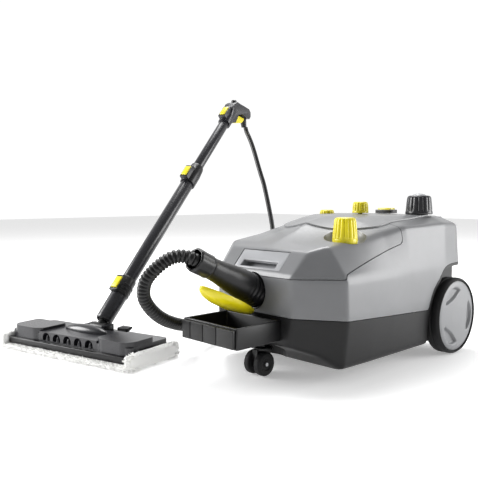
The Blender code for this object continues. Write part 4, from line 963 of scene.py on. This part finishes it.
# ------------------------------------------------------------------ running gear
@dataclass
class RearWheel:
    """A rear wheel: rubber tyre and moulded hub.

    Attributes:
        side: -1 on the left, 1 on the right.
        radius: the tyre's.
        width: the tyre's.
        rim: the hub's radius.
    """

    side: int
    radius: float = WHEEL_RADIUS
    width: float = 0.032
    rim: float = 0.0642

    def build(self) -> None:
        """Turns the tyre with its grooves and the hub with its three claw-shaped recesses."""
        name = "right" if self.side > 0 else "left"
        half = self.width / 2
        place = Place((self.side * (0.157 - half), 0, self.radius)).turned_by(y=self.side * math.pi / 2)
        tread = rounded([(self.rim + GAP, -half + 0.002), (self.radius - 0.004, -half),
                         (self.radius, -half + 0.005),
                         (self.radius, -0.0022), (self.radius - 0.0016, -0.0016),
                         (self.radius - 0.0016, 0.0016),
                         (self.radius, 0.0022), (self.radius, half - 0.005), (self.radius - 0.004, half),
                         (self.rim + GAP, half - 0.002)], 0.0022, 4, closed=True)
        tyre = turned(f"tyre_{name}_rubber", tread, place, 128, ring=True)
        dress(shade(tyre), Stuff.TYRE, f"wheel_{name}", "black_rubber", f"tyre_{name}")

        face = rounded([(0, half - 0.0005), (0.020, half - 0.0005), (self.rim - 0.006, half - 0.0015),
                        (self.rim - 0.001, half - 0.003), (self.rim, half - 0.0045)], 0.003, 3)
        fine = np.linspace(0, self.rim - 0.0035, 46)
        height = np.interp(fine, face[:, 0], face[:, 1])
        back = rounded([(self.rim, half - 0.0045), (self.rim, -half + 0.003),
                        (self.rim - 0.004, -half + 0.003),
                        (self.rim - 0.006, -0.004), (0.016, -0.004), (0.016, -half + 0.003),
                        (0.0064, -half + 0.003),
                        (0.0064, half - 0.0065), (0, half - 0.0065)], 0.001, 2)
        profile = np.concatenate([np.stack([fine, height], axis=1), [(self.rim - 0.001, half - 0.003)],
                                  back])
        steps = 144
        angle = np.linspace(0, 2 * np.pi, steps, endpoint=False)[None, :]
        radius = np.repeat(profile[:, :1], steps, axis=1)
        depth = np.repeat(profile[:, 1:], steps, axis=1)
        turn = (angle - math.radians(24)) % (2 * np.pi / 3) - np.pi / 3
        inner = 0.034 + 0.012 * (turn / 0.62) ** 2
        outer = 0.0560 - 0.010 * (turn / 0.75) ** 2
        claw = np.clip((radius - inner) / 0.0035, 0, 1) * np.clip((outer - radius) / 0.004, 0, 1)
        claw = claw * claw * (3 - 2 * claw)
        front = np.arange(len(profile))[:, None] < len(fine)
        depth = depth - np.where(front, 0.0052 * claw, 0)
        grid = np.stack([radius * np.cos(angle), radius * np.sin(angle), depth], axis=-1)
        hub = closed_grid(f"hub_{name}_moulding", grid, place)
        dress(shade(hub), Stuff.HUB, f"wheel_{name}", "light_grey_plastic", f"hub_{name}")


@dataclass
class Caster:
    """The front caster's fork and twin wheels.

    Attributes:
        radius: the wheels'.
        y: the axle's place.
    """

    radius: float = 0.0195
    y: float = -0.361

    def build(self) -> None:
        """Turns the wheels and rounds the fork."""
        dress_refined(("caster_fork", "caster_fork_moulding", 0.0007, 3, Stuff.BLACK, "caster",
                       "black_plastic"))
        r = self.radius
        profile = rounded([(0.0034, 0.006), (r - 0.0015, 0.006), (r, 0.0075), (r, 0.0155),
                           (r - 0.0025, 0.0176), (0.011, 0.0176),
                           (0.009, 0.0158), (0.0034, 0.0158)], 0.0012, 3, closed=True)
        place = Place((0, self.y, r)).turned_by(y=math.pi / 2)
        for name, side in (("left", -1), ("right", 1)):
            wheel = turned(f"caster_roller_{name}", profile * [1, side], place, 64, ring=True)
            dress(shade(wheel), Stuff.TYRE, f"caster_wheel_{name}", "black_rubber", f"caster_wheel_{name}")


# ------------------------------------------------------------------ controls
@dataclass
class Knob:
    """A fluted round grip.

    Attributes:
        node: the solid it stands for, and its body.
        place: the middle of its underside.
        radius: at the foot.
        height: of the grip.
        taper: how much narrower the top is.
        flutes: how many.
        depth: of each flute.
        collar: height of the plain ring at the foot.
        stem: length of the stem below.
    """

    node: str
    place: tuple[float, float, float]
    radius: float
    height: float
    taper: float
    flutes: int
    depth: float
    collar: float
    stem: float

    def build(self) -> None:
        """Turns the grip: r -> r - d (1 - |cos(n a / 2)|^0.5) over its fluted stretch."""
        r, h = self.radius, self.height
        outline = [(0, -self.stem), (0.004, -self.stem), (0.004, 0), (r, 0), (r, self.collar),
                   (r - self.depth * 0.4, self.collar + 0.001)]
        rise = np.linspace(self.collar + 0.0012, h - 0.004, 10)
        slope = [(r - self.taper * ((z - self.collar) / (h - self.collar)) ** 1.3, z) for z in rise]
        crown = [(slope[-1][0] - 0.0012, h - 0.0016), (slope[-1][0] - 0.0035, h - 0.0003),
                 (slope[-1][0] - 0.006, h), (0, h)]
        profile = rounded(outline, 0.0006, 2).tolist()[:-1] + slope + crown

        def fluting(radius: Array, height: Array, angle: Array) -> Array:
            """Pulls the radius in between the ribs.

            Args:
                radius: the plain radius.
                height: along the axis.
                angle: about it.

            Returns:
                The new radius.
            """
            wave = 1 - np.abs(np.cos(self.flutes * angle / 2)) ** 0.45
            ramp = np.clip((height - self.collar - 0.0008) / 0.0025, 0, 1) * np.clip((h - height) / 0.0035,
                                                                                     0, 1)
            return np.where(radius > 0.006, radius - self.depth * wave * ramp, radius)

        knob = turned(f"{self.node}_grip", profile, Place(self.place), self.flutes * 14, fluting)
        dress(shade(knob, 50), Stuff.YELLOW, self.node, "yellow_plastic", self.node)


@dataclass
class FillerCap:
    """The filler cap with its ribbed grip and its pale dome.

    Attributes:
        place: x and y of its axis.
        low: height of the grip's foot.
        radius: of the grip's foot.
        height: of the grip.
    """

    place: tuple[float, float] = CAP_PLACE
    low: float = 0.2560
    radius: float = 0.0250
    height: float = 0.0350

    def build(self) -> None:
        """Turns the grip and the dome."""
        r, h, ribs = self.radius, self.height, 14
        place = Place((*self.place, self.low))
        outer = [(0.0181, 0.0059), (0.0181, 0.0), (r - 0.0005, 0.0), (r, 0.0008), (r, 0.0046),
                 (r - 0.0008, 0.0056)]
        rise = [(r - 0.0008 - 0.0022 * t**1.4, 0.0058 + (h - 0.0105) * t) for t in np.linspace(0, 1, 10)]
        crown = [(r - 0.0042, h - 0.0022), (r - 0.0062, h - 0.0006), (r - 0.0085, h - 0.0001), (0.0138, h),
                 (0.0138, h - 0.0014),
                 (0, h - 0.0014)]
        profile = [(0, 0.0059), *outer, *rise, *crown]

        def ribbing(radius: Array, height: Array, angle: Array) -> Array:
            """Leaves broad ribs with narrow valleys between them.

            Args:
                radius: the plain radius.
                height: along the axis.
                angle: about it.

            Returns:
                The new radius.
            """
            wave = 1 - np.abs(np.cos(ribs * angle / 2)) ** 0.35
            ramp = np.clip((height - 0.0056) / 0.002, 0, 1) * np.clip((h - 0.0010 - height) / 0.003, 0, 1)
            return np.where(radius > 0.0150, radius - 0.0021 * wave * ramp, radius)

        grip = turned("filler_cap_grip", profile, place, ribs * 14, ribbing)
        dress(shade(grip, 50), Stuff.WAND, "cap", "black_plastic", "cap_grip")
        dome = rounded([(0, h - 0.0011), (0.0134, h - 0.0011), (0.0134, h + 0.0003), (0.0100, h + 0.0022),
                        (0.0050, h + 0.0035),
                        (0, h + 0.0038)], 0.001)
        dress(shade(turned("filler_cap_dome", dome, place)), Stuff.COVER, "cap", "light_grey_plastic",
              "cap_dome")


# ------------------------------------------------------------------ plug and hose
@dataclass
class SteamPlug:
    """The plug in the machine's front, with its release flap.

    Attributes:
        radius: of its body.
        length: from the seat to the mouth.
        mouth: radius of the mouth.
    """

    radius: float = 0.0245
    length: float = 0.157
    mouth: float = 0.0188

    def build(self) -> None:
        """Turns the body with its grip rings and lofts the flap."""
        r, end = self.radius, self.length
        outer = [(0.0059, -0.0117), (r, -0.0117), (r, 0.035), (r - 0.0008, 0.055), (r - 0.0030, 0.078),
                 (r - 0.0066, 0.103),
                 (r - 0.0076, 0.118), (r - 0.0074, 0.1265), (r - 0.0060, 0.1275),
                 (self.mouth - 0.0006, 0.130),
                 (self.mouth, end - 0.002), (self.mouth - 0.0012, end), (0.0155, end),
                 (0.0150, end - 0.002),
                 (0.0128, end - 0.0175), (0.0059, end - 0.0178)]
        profile = rounded(outer, 0.004, 5, closed=True)

        def grips(radius: Array, height: Array, angle: Array) -> Array:
            """Raises soft rings near the seat and eight shallow flats round the mouth.

            Args:
                radius: the plain radius.
                height: along the axis.
                angle: about it.

            Returns:
                The new radius.
            """
            ramp = np.clip((0.050 - height) / 0.01, 0, 1) * np.clip(height / 0.008, 0, 1)
            rings = 0.0005 * np.sin(2 * np.pi * height / 0.0085) * ramp
            flats = -0.0008 * (np.abs(np.sin(4 * angle)) ** 3) * np.clip((height - 0.128) / 0.004, 0, 1)
            return np.where(radius > 0.0155, radius + rings + flats, radius)

        fine = curve_through(np.c_[profile, np.zeros(len(profile))], 0.0012)[:, :2]
        plug = turned("steam_plug_body", fine, PLUG, 96, grips, ring=True)
        dress(shade(plug, 40), Stuff.BLACK, "plug", "black_plastic", "plug_shell")

        leaf = np.array([(0.0132, 0.0070), (0.0200, 0.0160), (0.0400, 0.0250), (0.0620, 0.0300),
                         (0.0860, 0.0295), (0.1060, 0.0230),
                         (0.1190, 0.0135), (0.1258, 0.0045)])
        s = np.linspace(leaf[0, 0], leaf[-1, 0], 70)
        half = np.interp(s, leaf[:, 0], leaf[:, 1])
        kernel = np.hanning(13)[1:-1]
        half = np.convolve(np.pad(half, 5, mode="edge"), kernel / kernel.sum(), "valid")
        half = half * np.sqrt(np.clip(np.minimum(s - leaf[0, 0], leaf[-1, 0] - s) / 0.004, 0.05, 1))
        angle = np.linspace(0, 2 * np.pi, 64, endpoint=False)[None, :]
        side = np.sign(np.cos(angle)) * np.abs(np.cos(angle)) ** 0.75
        under = np.clip(np.sin(angle), 0, 1) ** 0.8
        over = np.clip(-np.sin(angle), 0, 1)
        crown = (0.005 + 0.0120 * np.minimum(1.0, half / 0.029))[:, None]
        depth = 0.0290 + 0.001 + under * (crown - 0.0012) - over * 0.0008
        grid = np.stack([half[:, None] * side, -depth, np.repeat(s[:, None], 64, axis=1)], axis=-1)
        flap = closed_grid("release_flap_leaf", grid, PLUG)
        dress(shade(flap, 60), Stuff.YELLOW, "flap", "yellow_plastic", "release_flap")


@dataclass
class HoseLine:
    """The corrugated sleeve out of the plug, and the thin hose from its end up to the handle.

    Attributes:
        sleeve_radius: outside the corrugation.
        pitch: from one ridge to the next.
        hose_radius: of the thin hose.
    """

    sleeve_radius: float = 0.0105
    pitch: float = 0.0062
    hose_radius: float = 0.0055

    def routes(self) -> tuple[Array, Array]:
        """The routes of the sleeve and the hose.

        Returns:
            Each one's points in the row's frame.
        """
        left, front = -0.145, -0.375
        sleeve = [(0.0, -0.48074, 0.18997), (0.0, front - 0.1225, 0.1979), (-0.008, front - 0.1345, 0.2020),
                  (-0.021, front - 0.1470, 0.1995), (-0.038, front - 0.1600, 0.185),
                  (-0.056, front - 0.1675, 0.164),
                  (-0.069, front - 0.162, 0.139), (-0.077, front - 0.143, 0.116),
                  (-0.086, front - 0.114, 0.096),
                  (-0.102, front - 0.074, 0.080), (left + 0.015, front - 0.025, 0.066),
                  (left - 0.020, front + 0.027, 0.050),
                  (left - 0.052, front + 0.082, 0.032), (left - 0.071, front + 0.135, 0.019),
                  (left - 0.082, front + 0.185, 0.0140), (left - 0.086, front + 0.225, 0.0130),
                  (left - 0.086, front + 0.2545, 0.0130)]
        hose = [(left - 0.086, front + 0.2853, 0.0130), (left - 0.086, front + 0.297, 0.0130),
                (left - 0.086, front + 0.322, 0.0095), (left - 0.085, -0.028, 0.0062),
                (left - 0.083, 0.004, 0.0060),
                (left - 0.077, 0.045, 0.0060), (left - 0.059, 0.092, 0.0060), (left - 0.023, 0.125, 0.0060),
                (-0.125, 0.142, 0.0060), (-0.090, 0.166, 0.0060), (-0.092, 0.205, 0.0060),
                (-0.130, 0.231, 0.0060),
                (-0.182, 0.230, 0.0060), (-0.230, 0.205, 0.0060), (-0.265, 0.162, 0.0060),
                (-0.283, 0.112, 0.0060),
                (-0.288, 0.070, 0.0060), (-0.287, 0.038, 0.0095), (-0.289, 0.016, 0.0280),
                (-0.297, 0.009, 0.0600),
                (-0.306, 0.010, 0.0950), (-0.315, 0.013, 0.1350), (-0.325, 0.018, 0.1800),
                (-0.336, 0.0235, 0.2203),
                (-0.352, 0.027, 0.2687), (-0.371, 0.031, 0.3179), (-0.3835, 0.033, 0.3428),
                (-0.397, 0.036, 0.3681),
                (-0.410, 0.039, 0.3937), (-0.4235, 0.042, 0.4180), (-0.4368, 0.0445, 0.4385),
                (-0.4495, 0.0472, 0.4549),
                (-0.4523, 0.0459, 0.4665)]
        return np.array(sleeve) + DATUM, np.array(hose) + DATUM

    def build(self) -> None:
        sleeve_route, hose_route = self.routes()
        path = curve_through(sleeve_route, self.pitch / 7)
        walked = np.arange(len(path)) * self.pitch / 7
        wave = 0.5 - 0.5 * np.cos(2 * np.pi * walked / self.pitch)
        radius = self.sleeve_radius - 0.0024 * (1 - wave**0.7)
        sleeve = shade(swept("corrugated_sleeve", path, radius, 28), 75)
        self.finish(sleeve, Stuff.SOFT,
                    "hose_sleeve")
        path = curve_through(hose_route, 0.004)
        hose = shade(swept("thin_steam_hose", path, np.full(len(path), self.hose_radius), 20), 75)
        self.finish(hose, Stuff.HOSE,
                    "steam_hose")

    def finish(self, obj: bpy.types.Object, stuff: Stuff,
               node: str) -> None:
        """Args:
            obj: the line.
            stuff: its finish.
            node: the solid it replaces.
        """
        obj.data.materials.append(stuff.material)
        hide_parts(node)
        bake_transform(obj)


# ------------------------------------------------------------------ wand
TURN = math.radians(13.95)
NOZZLE = Place((-0.322, -0.490, 0.0)).turned_by(z=TURN)
WAND = NOZZLE.inner((0, 0.031, 0.040), Euler((-math.pi / 4, 0, 0)))


@dataclass
class Wand:
    """The tubes, couplings, handle and buttons of the wand.

    Attributes:
        lower: outer radius of the lower tube.
        upper: outer radius of the upper tube.
    """

    lower: float = 0.0145
    upper: float = 0.0120

    def build(self) -> None:
        """Turns the tubes and the nozzle's neck and rounds the moulded pieces."""
        for node, name, radius, low, high in (("lower_tube", "lower_wand_tube", self.lower, 0.0885, 0.4107),
                                              ("upper_tube", "upper_wand_tube", self.upper, 0.4113,
                                               0.6277)):
            wall = radius - 0.0022
            section = [(wall, low), (radius, low), (radius, high), (wall, high)]
            tube = turned(name, rounded(section, 0.0004, 2, closed=True), WAND, 64, ring=True)
            dress(shade(tube), Stuff.WAND, "wand", "dark_grey_plastic", node)
        neck = [(0.0060, 0.0350), (0.0089, 0.0345), (0.0089, 0.0155), (0.0150, 0.0155), (0.0165, 0.0190),
                (0.0170, 0.0740),
                (0.0165, 0.0750), (0.0125, 0.0750), (0.0125, 0.0870), (0.0060, 0.0870)]
        outline = rounded(neck, 0.0010, 3, closed=True)
        piece = shade(turned("nozzle_neck_tube", outline, WAND, 64, ring=True))
        dress(piece, Stuff.WAND, "wand", "dark_grey_plastic", "nozzle_neck")
        dress_refined(
            ("lower_coupling", "ribbed_coupling", 0.0006, 2, Stuff.BLACK, "wand", "black_plastic"),
            ("middle_coupling", "tube_coupling", 0.0008, 2, Stuff.BLACK, "wand", "black_plastic"),
            ("handle_shell", "gun_grip", 0.0026, 4, Stuff.WAND, "wand", "black_plastic"),
            ("trigger", "steam_trigger", 0.0014, 3, Stuff.YELLOW, "trigger", "yellow_plastic"),
        )
        for level in ("lower", "middle", "upper"):
            latch = f"latch_{level}"
            dress_refined((latch, f"latch_key_{level}", 0.0015, 3, Stuff.YELLOW, latch, "yellow_plastic"))


# ------------------------------------------------------------------ floor nozzle
@dataclass
class FloorNozzle:
    """The floor nozzle's housing, its oval cover and its terry cloth.

    Attributes:
        half: half of the base plate's length.
        deep: half of its depth.
        over: how far the cloth reaches past the plate's ends.
        arches: how many arches the housing has.
        pitch: from one arch to the next.
        loops: how many loops of pile stand out of the cloth.
    """

    half: float = 0.155
    deep: float = 0.058
    over: float = 0.0105
    arches: int = 5
    pitch: float = 0.0275
    loops: int = 3400

    def build(self) -> None:
        """Rounds the moulded pieces, domes the cover and makes the cloth."""
        dress_refined(("nozzle_base", "nozzle_plate", 0.0012, 3, Stuff.BLACK, "nozzle", "black_plastic"))
        self.housing()
        dress_refined(
            ("swivel_knuckle", "swivel_joint", 0.0006, 3, Stuff.BLACK, "swivel", "black_plastic"),
            ("cloth_clip", "cloth_clamp", 0.0009, 3, Stuff.BLACK, "clip", "black_plastic"),
        )
        angle = np.linspace(0, 2 * np.pi, 72, endpoint=False)[None, :]
        t = np.linspace(0, 1, 16)[:, None]
        scale = np.cos(t * np.pi / 2 * 0.97)
        rise = 0.0403 + 0.0125 * np.sin(t * np.pi / 2)
        grid = np.stack([0.052 * scale * np.cos(angle), -0.0025 + 0.0150 * scale * np.sin(angle),
                         rise + 0 * angle], axis=-1)
        oval = shade(closed_grid("oval_pivot_cover", grid, NOZZLE), 60)
        dress(oval, Stuff.WAND, "nozzle", "dark_grey_plastic", "pivot_cover")
        self.cloth()

    def housing(self) -> None:
        """The moulded cover: two raised ends, a lower web with five scooped arches, and the pivot's ears."""
        low, web, top = 0.0221, 0.0400, 0.0450
        face, back, middle = -self.deep + 0.006, self.deep - 0.006, 0.068
        end = self.half - 0.004
        body = prism("nozzle_cover", rounded([(-end, face + 0.003), (end, face + 0.003), (end, back),
                                              (-end, back)], 0.009, 5, True),
                     low, 0.0358, "z", NOZZLE)
        centre = prism("cut_centre", [(-middle - 0.006, face + 0.003), (middle + 0.006, face + 0.003),
                                      (middle + 0.006, 0.0236),
                                      (-middle - 0.006, 0.0236)], low + 0.001, web, "z", NOZZLE)
        ends = []
        for side in (-1, 1):
            plan = [(side * (middle + 0.001), face + 0.010), (side * (middle + 0.016), face),
                    (side * (end - 0.014), face),
                    (side * end, face + 0.016), (side * end, 0.0136), (side * (middle + 0.001), 0.0136)]
            ends.append(prism("cut_end", rounded(plan, 0.0075, 5, True), low, top, "z", NOZZLE))
        ears = [block("cut_ear", (x - 0.003, 0.018, 0.026), (x + 0.003, 0.044, 0.048), NOZZLE)
                for x in (-0.0222, 0.0222)]
        bay = block("cut_bay", (-0.0190, 0.0155, 0.01), (0.0190, 0.2, 0.1), NOZZLE)
        pin = rod("cut_pin", 0.0044, -0.03, 0.03,
                  NOZZLE.inner((0, 0.031, 0.040), Euler((0, math.pi / 2, 0))), 40)
        carve(body, centre, *ends, operation="UNION")
        carve(body, bay)
        carve(body, *ears, operation="UNION")
        scoops = []
        places = (np.arange(self.arches) - (self.arches - 1) / 2) * self.pitch
        angle = np.linspace(0, np.pi, 17)
        wide = 0.0098
        round_top = np.stack([wide * np.cos(angle), 0.0002 + wide * np.sin(angle)], axis=1)
        arch = np.concatenate([[(wide, -0.012)], round_top, [(-wide, -0.012)]])
        reach = np.linspace(0, 1, 8)[:, None]
        shrink = np.sqrt(1 - 0.93 * reach**2)
        for x in places:
            grid = np.stack([x + shrink * arch[None, :, 0],
                             face + 0.0015 + 0.016 * reach + 0 * arch[None, :, 0],
                             low + 0.0125 + shrink * (arch[None, :, 1] - 0.0095)], axis=-1)
            grid = np.concatenate([grid[:1] - [0, 0.01, 0], grid])
            grid[..., 2] = np.clip(grid[..., 2] + 0.0035, low + 0.0022, None)
            scoops.append(closed_grid("cut_scoop", grid, NOZZLE))
        carve(body, pin, *scoops)
        tooth = rounded([(0, 0), (0.0040, 0), (0.0030, 0.006), (0.0012, 0.0098), (0, 0.0102)], 0.0012, 3)
        teeth = [turned("cut_tooth", tooth, NOZZLE.inner((x, face + 0.0075, low + 0.0016)),
                        20) for x in places]
        carve(body, *teeth, operation="UNION")
        discard_cutters()
        dress(soften(body, 0.0013, 3, 40), Stuff.WAND, "nozzle", "dark_grey_plastic", "nozzle_housing")

    def cloth(self) -> None:
        """The terry cloth under the plate, turned up over both of its ends.

        Across, it is the superellipse (y, z) = (h cos^0.3, z0 + v sin^0.45); along, its thickness steps up
        past the plate's ends. Loops 4 mm apart stand 1 mm proud where nothing presses on it.
        """
        end = self.half + self.over
        x = np.concatenate([np.linspace(-end, -self.half - GAP, 16),
                            np.linspace(-self.half + 0.0006, self.half - 0.0006, 190),
                            np.linspace(self.half + GAP, end, 16)])[:, None]
        beyond = np.abs(x) > self.half
        near = np.clip((end - np.abs(x)) / 0.007, 0, 1)
        round_end = np.sqrt(np.maximum(1 - (1 - near) ** 2, 0.02))
        top = np.where(beyond, 0.0285, 0.0098)
        angle = np.linspace(0, 2 * np.pi, 120, endpoint=False)[None, :]
        cos, sin = np.cos(angle), np.sin(angle)
        y = (self.deep + 0.0088) * np.sign(cos) * np.abs(cos) ** 0.3 * (0.9 + 0.1 * round_end)
        z = top / 2 + top / 2 * np.sign(sin) * np.abs(sin) ** 0.45 * (0.55 + 0.45 * round_end)
        loops = ripple(x + 0 * y, y, z, 0.0042) + 0.5 * ripple(x + 0 * y + 0.3, y, z, 0.0023)
        free = np.where(beyond | (np.abs(y) > self.deep + 0.002), 1.0, 0.0)
        y = y + 0.0009 * loops * free * np.sign(cos) * np.abs(cos)
        z = np.clip(z + 0.0009 * loops * free * np.sign(sin) * np.abs(sin), 0.0, 0.0289)
        wide = np.clip(x + 0.0006 * loops * beyond * np.sign(x), -end, end)
        skin = np.stack([wide + 0 * y, y, z], axis=-1)
        cloth = closed_grid("terry_cloth_pad", skin, NOZZLE)
        dress(shade(cloth, 80), Stuff.TERRY, "nozzle", "white_cloth", "cleaning_cloth")
        self.pile(skin, free)

    def pile(self, skin: Array, free: Array) -> None:
        """The loops of the pile, standing out of the cloth wherever it is free.

        Each loop is a short bent strand: centre c + n h s + g s^2 with s from 0 to 1 along it, n pointing
        away from the pad's middle line and g a small fixed sideways lean; its radius is r (1 - s^2)^0.5.

        Args:
            skin: the cloth's grid, (rows, columns, 3).
            free: 1 where nothing lies on it, of the grid's size.
        """
        rng = np.random.default_rng(7)
        count, rings, sides = self.loops, 5, 5
        rows, columns = np.nonzero((free * np.ones(skin.shape[:2])) > 0.5)
        chosen = rng.choice(len(rows), count)
        feet = skin[rows[chosen], columns[chosen]] + rng.uniform(-0.0012, 0.0012, (count, 3))
        core = np.stack([np.clip(feet[:, 0], -self.half - 0.002, self.half + 0.002),
                         np.clip(feet[:, 1], -self.deep, self.deep), np.full(count, 0.006)], axis=1)
        away = feet - core
        away[:, 2] = np.clip(away[:, 2], -0.002, None)
        away /= np.linalg.norm(away, axis=1, keepdims=True) + 1e-9
        lean = rng.normal(0, 0.0011, (count, 3))
        s = np.linspace(-0.15, 1.0, rings)[None, :, None]
        height = rng.uniform(0.0016, 0.0032, (count, 1, 1))
        spine = feet[:, None] + away[:, None] * height * s + lean[:, None] * s * s
        side = np.cross(away, [0.31, 0.52, 0.79])
        side /= np.linalg.norm(side, axis=1, keepdims=True) + 1e-9
        other = np.cross(away, side)
        angle = np.arange(sides) * 2 * np.pi / sides
        cos, sin = np.cos(angle)[:, None], np.sin(angle)[:, None]
        ring = cos * side[:, None, None] + sin * other[:, None, None]
        thick = 0.00085 * np.sqrt(np.clip(1.05 - np.clip(s, 0, 1) ** 2, 0.05, 1))[..., None]
        points = spine[:, :, None] + ring * thick
        points[..., 2] = np.clip(points[..., 2], 0.0002, 0.0305)
        index = np.arange(rings * sides).reshape(rings, sides)
        beside = np.roll(index, -1, 1)
        quads = np.stack([index[:-1], beside[:-1], beside[1:], index[1:]], axis=-1).reshape(-1, 4)
        base = (np.arange(count) * rings * sides)[:, None, None]
        walls = (quads[None] + base).reshape(-1, 4).tolist()
        caps = np.concatenate([index[0][::-1][None] + base[:, 0], index[-1][None] + base[:, 0]]).tolist()
        mesh = bpy.data.meshes.new("terry_pile")
        mesh.from_pydata(NOZZLE.row(points.reshape(-1, 3)).tolist(), [], walls + caps)
        mesh.update()
        obj = bpy.data.objects.new("terry_pile", mesh)
        bpy.context.scene.collection.objects.link(obj)
        dress(shade(obj, 60), Stuff.TERRY, "nozzle", "white_cloth")


# ------------------------------------------------------------------ carried-over solids
CARRIED: dict[Stuff, tuple[str, ...]] = {
    Stuff.STEEL: ("boiler", "heating_element", "boiler_cradle", "outlet_pipe", "plug_spigot", "rear_axle",
                  "caster_axle"),
    Stuff.BRASS: ("safety_valve", "steam_valve"),
    Stuff.TANK: ("water_tank",),
    Stuff.BOARD: ("control_board",),
    Stuff.BLACK: ("filler_neck", "feed_pump", "hose_collar", "lock_button"),
    Stuff.SOFT: ("cap_stem", "cord_gland", "hose_bush"),
}


def dress_carried() -> None:
    """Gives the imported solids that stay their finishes."""
    for stuff, nodes in CARRIED.items():
        for node in nodes:
            data = frame["nodes"][node].data
            data.materials.clear()
            data.materials.append(stuff.material)
            LOG.info("%s: %s, carried over", node, stuff.value.name)


def main() -> None:
    """Builds the studio and every sub-assembly in order."""
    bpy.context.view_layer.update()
    Studio().build()
    HoseLine().build()
    Body().build()
    FrontFittings().build()
    for side in (-1, 1):
        RearWheel(side).build()
    Caster().build()
    Knob("knob_right", (*RIGHT_KNOB, 0.2128), 0.0205, 0.0425, 0.0035, 16, 0.0019, 0.0075, 0.012).build()
    Knob("knob_middle", (*MIDDLE_KNOB, 0.2585), 0.0150, 0.0210, 0.0012, 14, 0.0014, 0.002, 0.009).build()
    Knob("knob_left", (*LEFT_KNOB, 0.2423), 0.0150, 0.0210, 0.0012, 14, 0.0014, 0.002, 0.009).build()
    FillerCap().build()
    SteamPlug().build()
    Wand().build()
    FloorNozzle().build()
    dress_carried()
    bpy.context.view_layer.update()


if __name__ == "__main__":
    main()
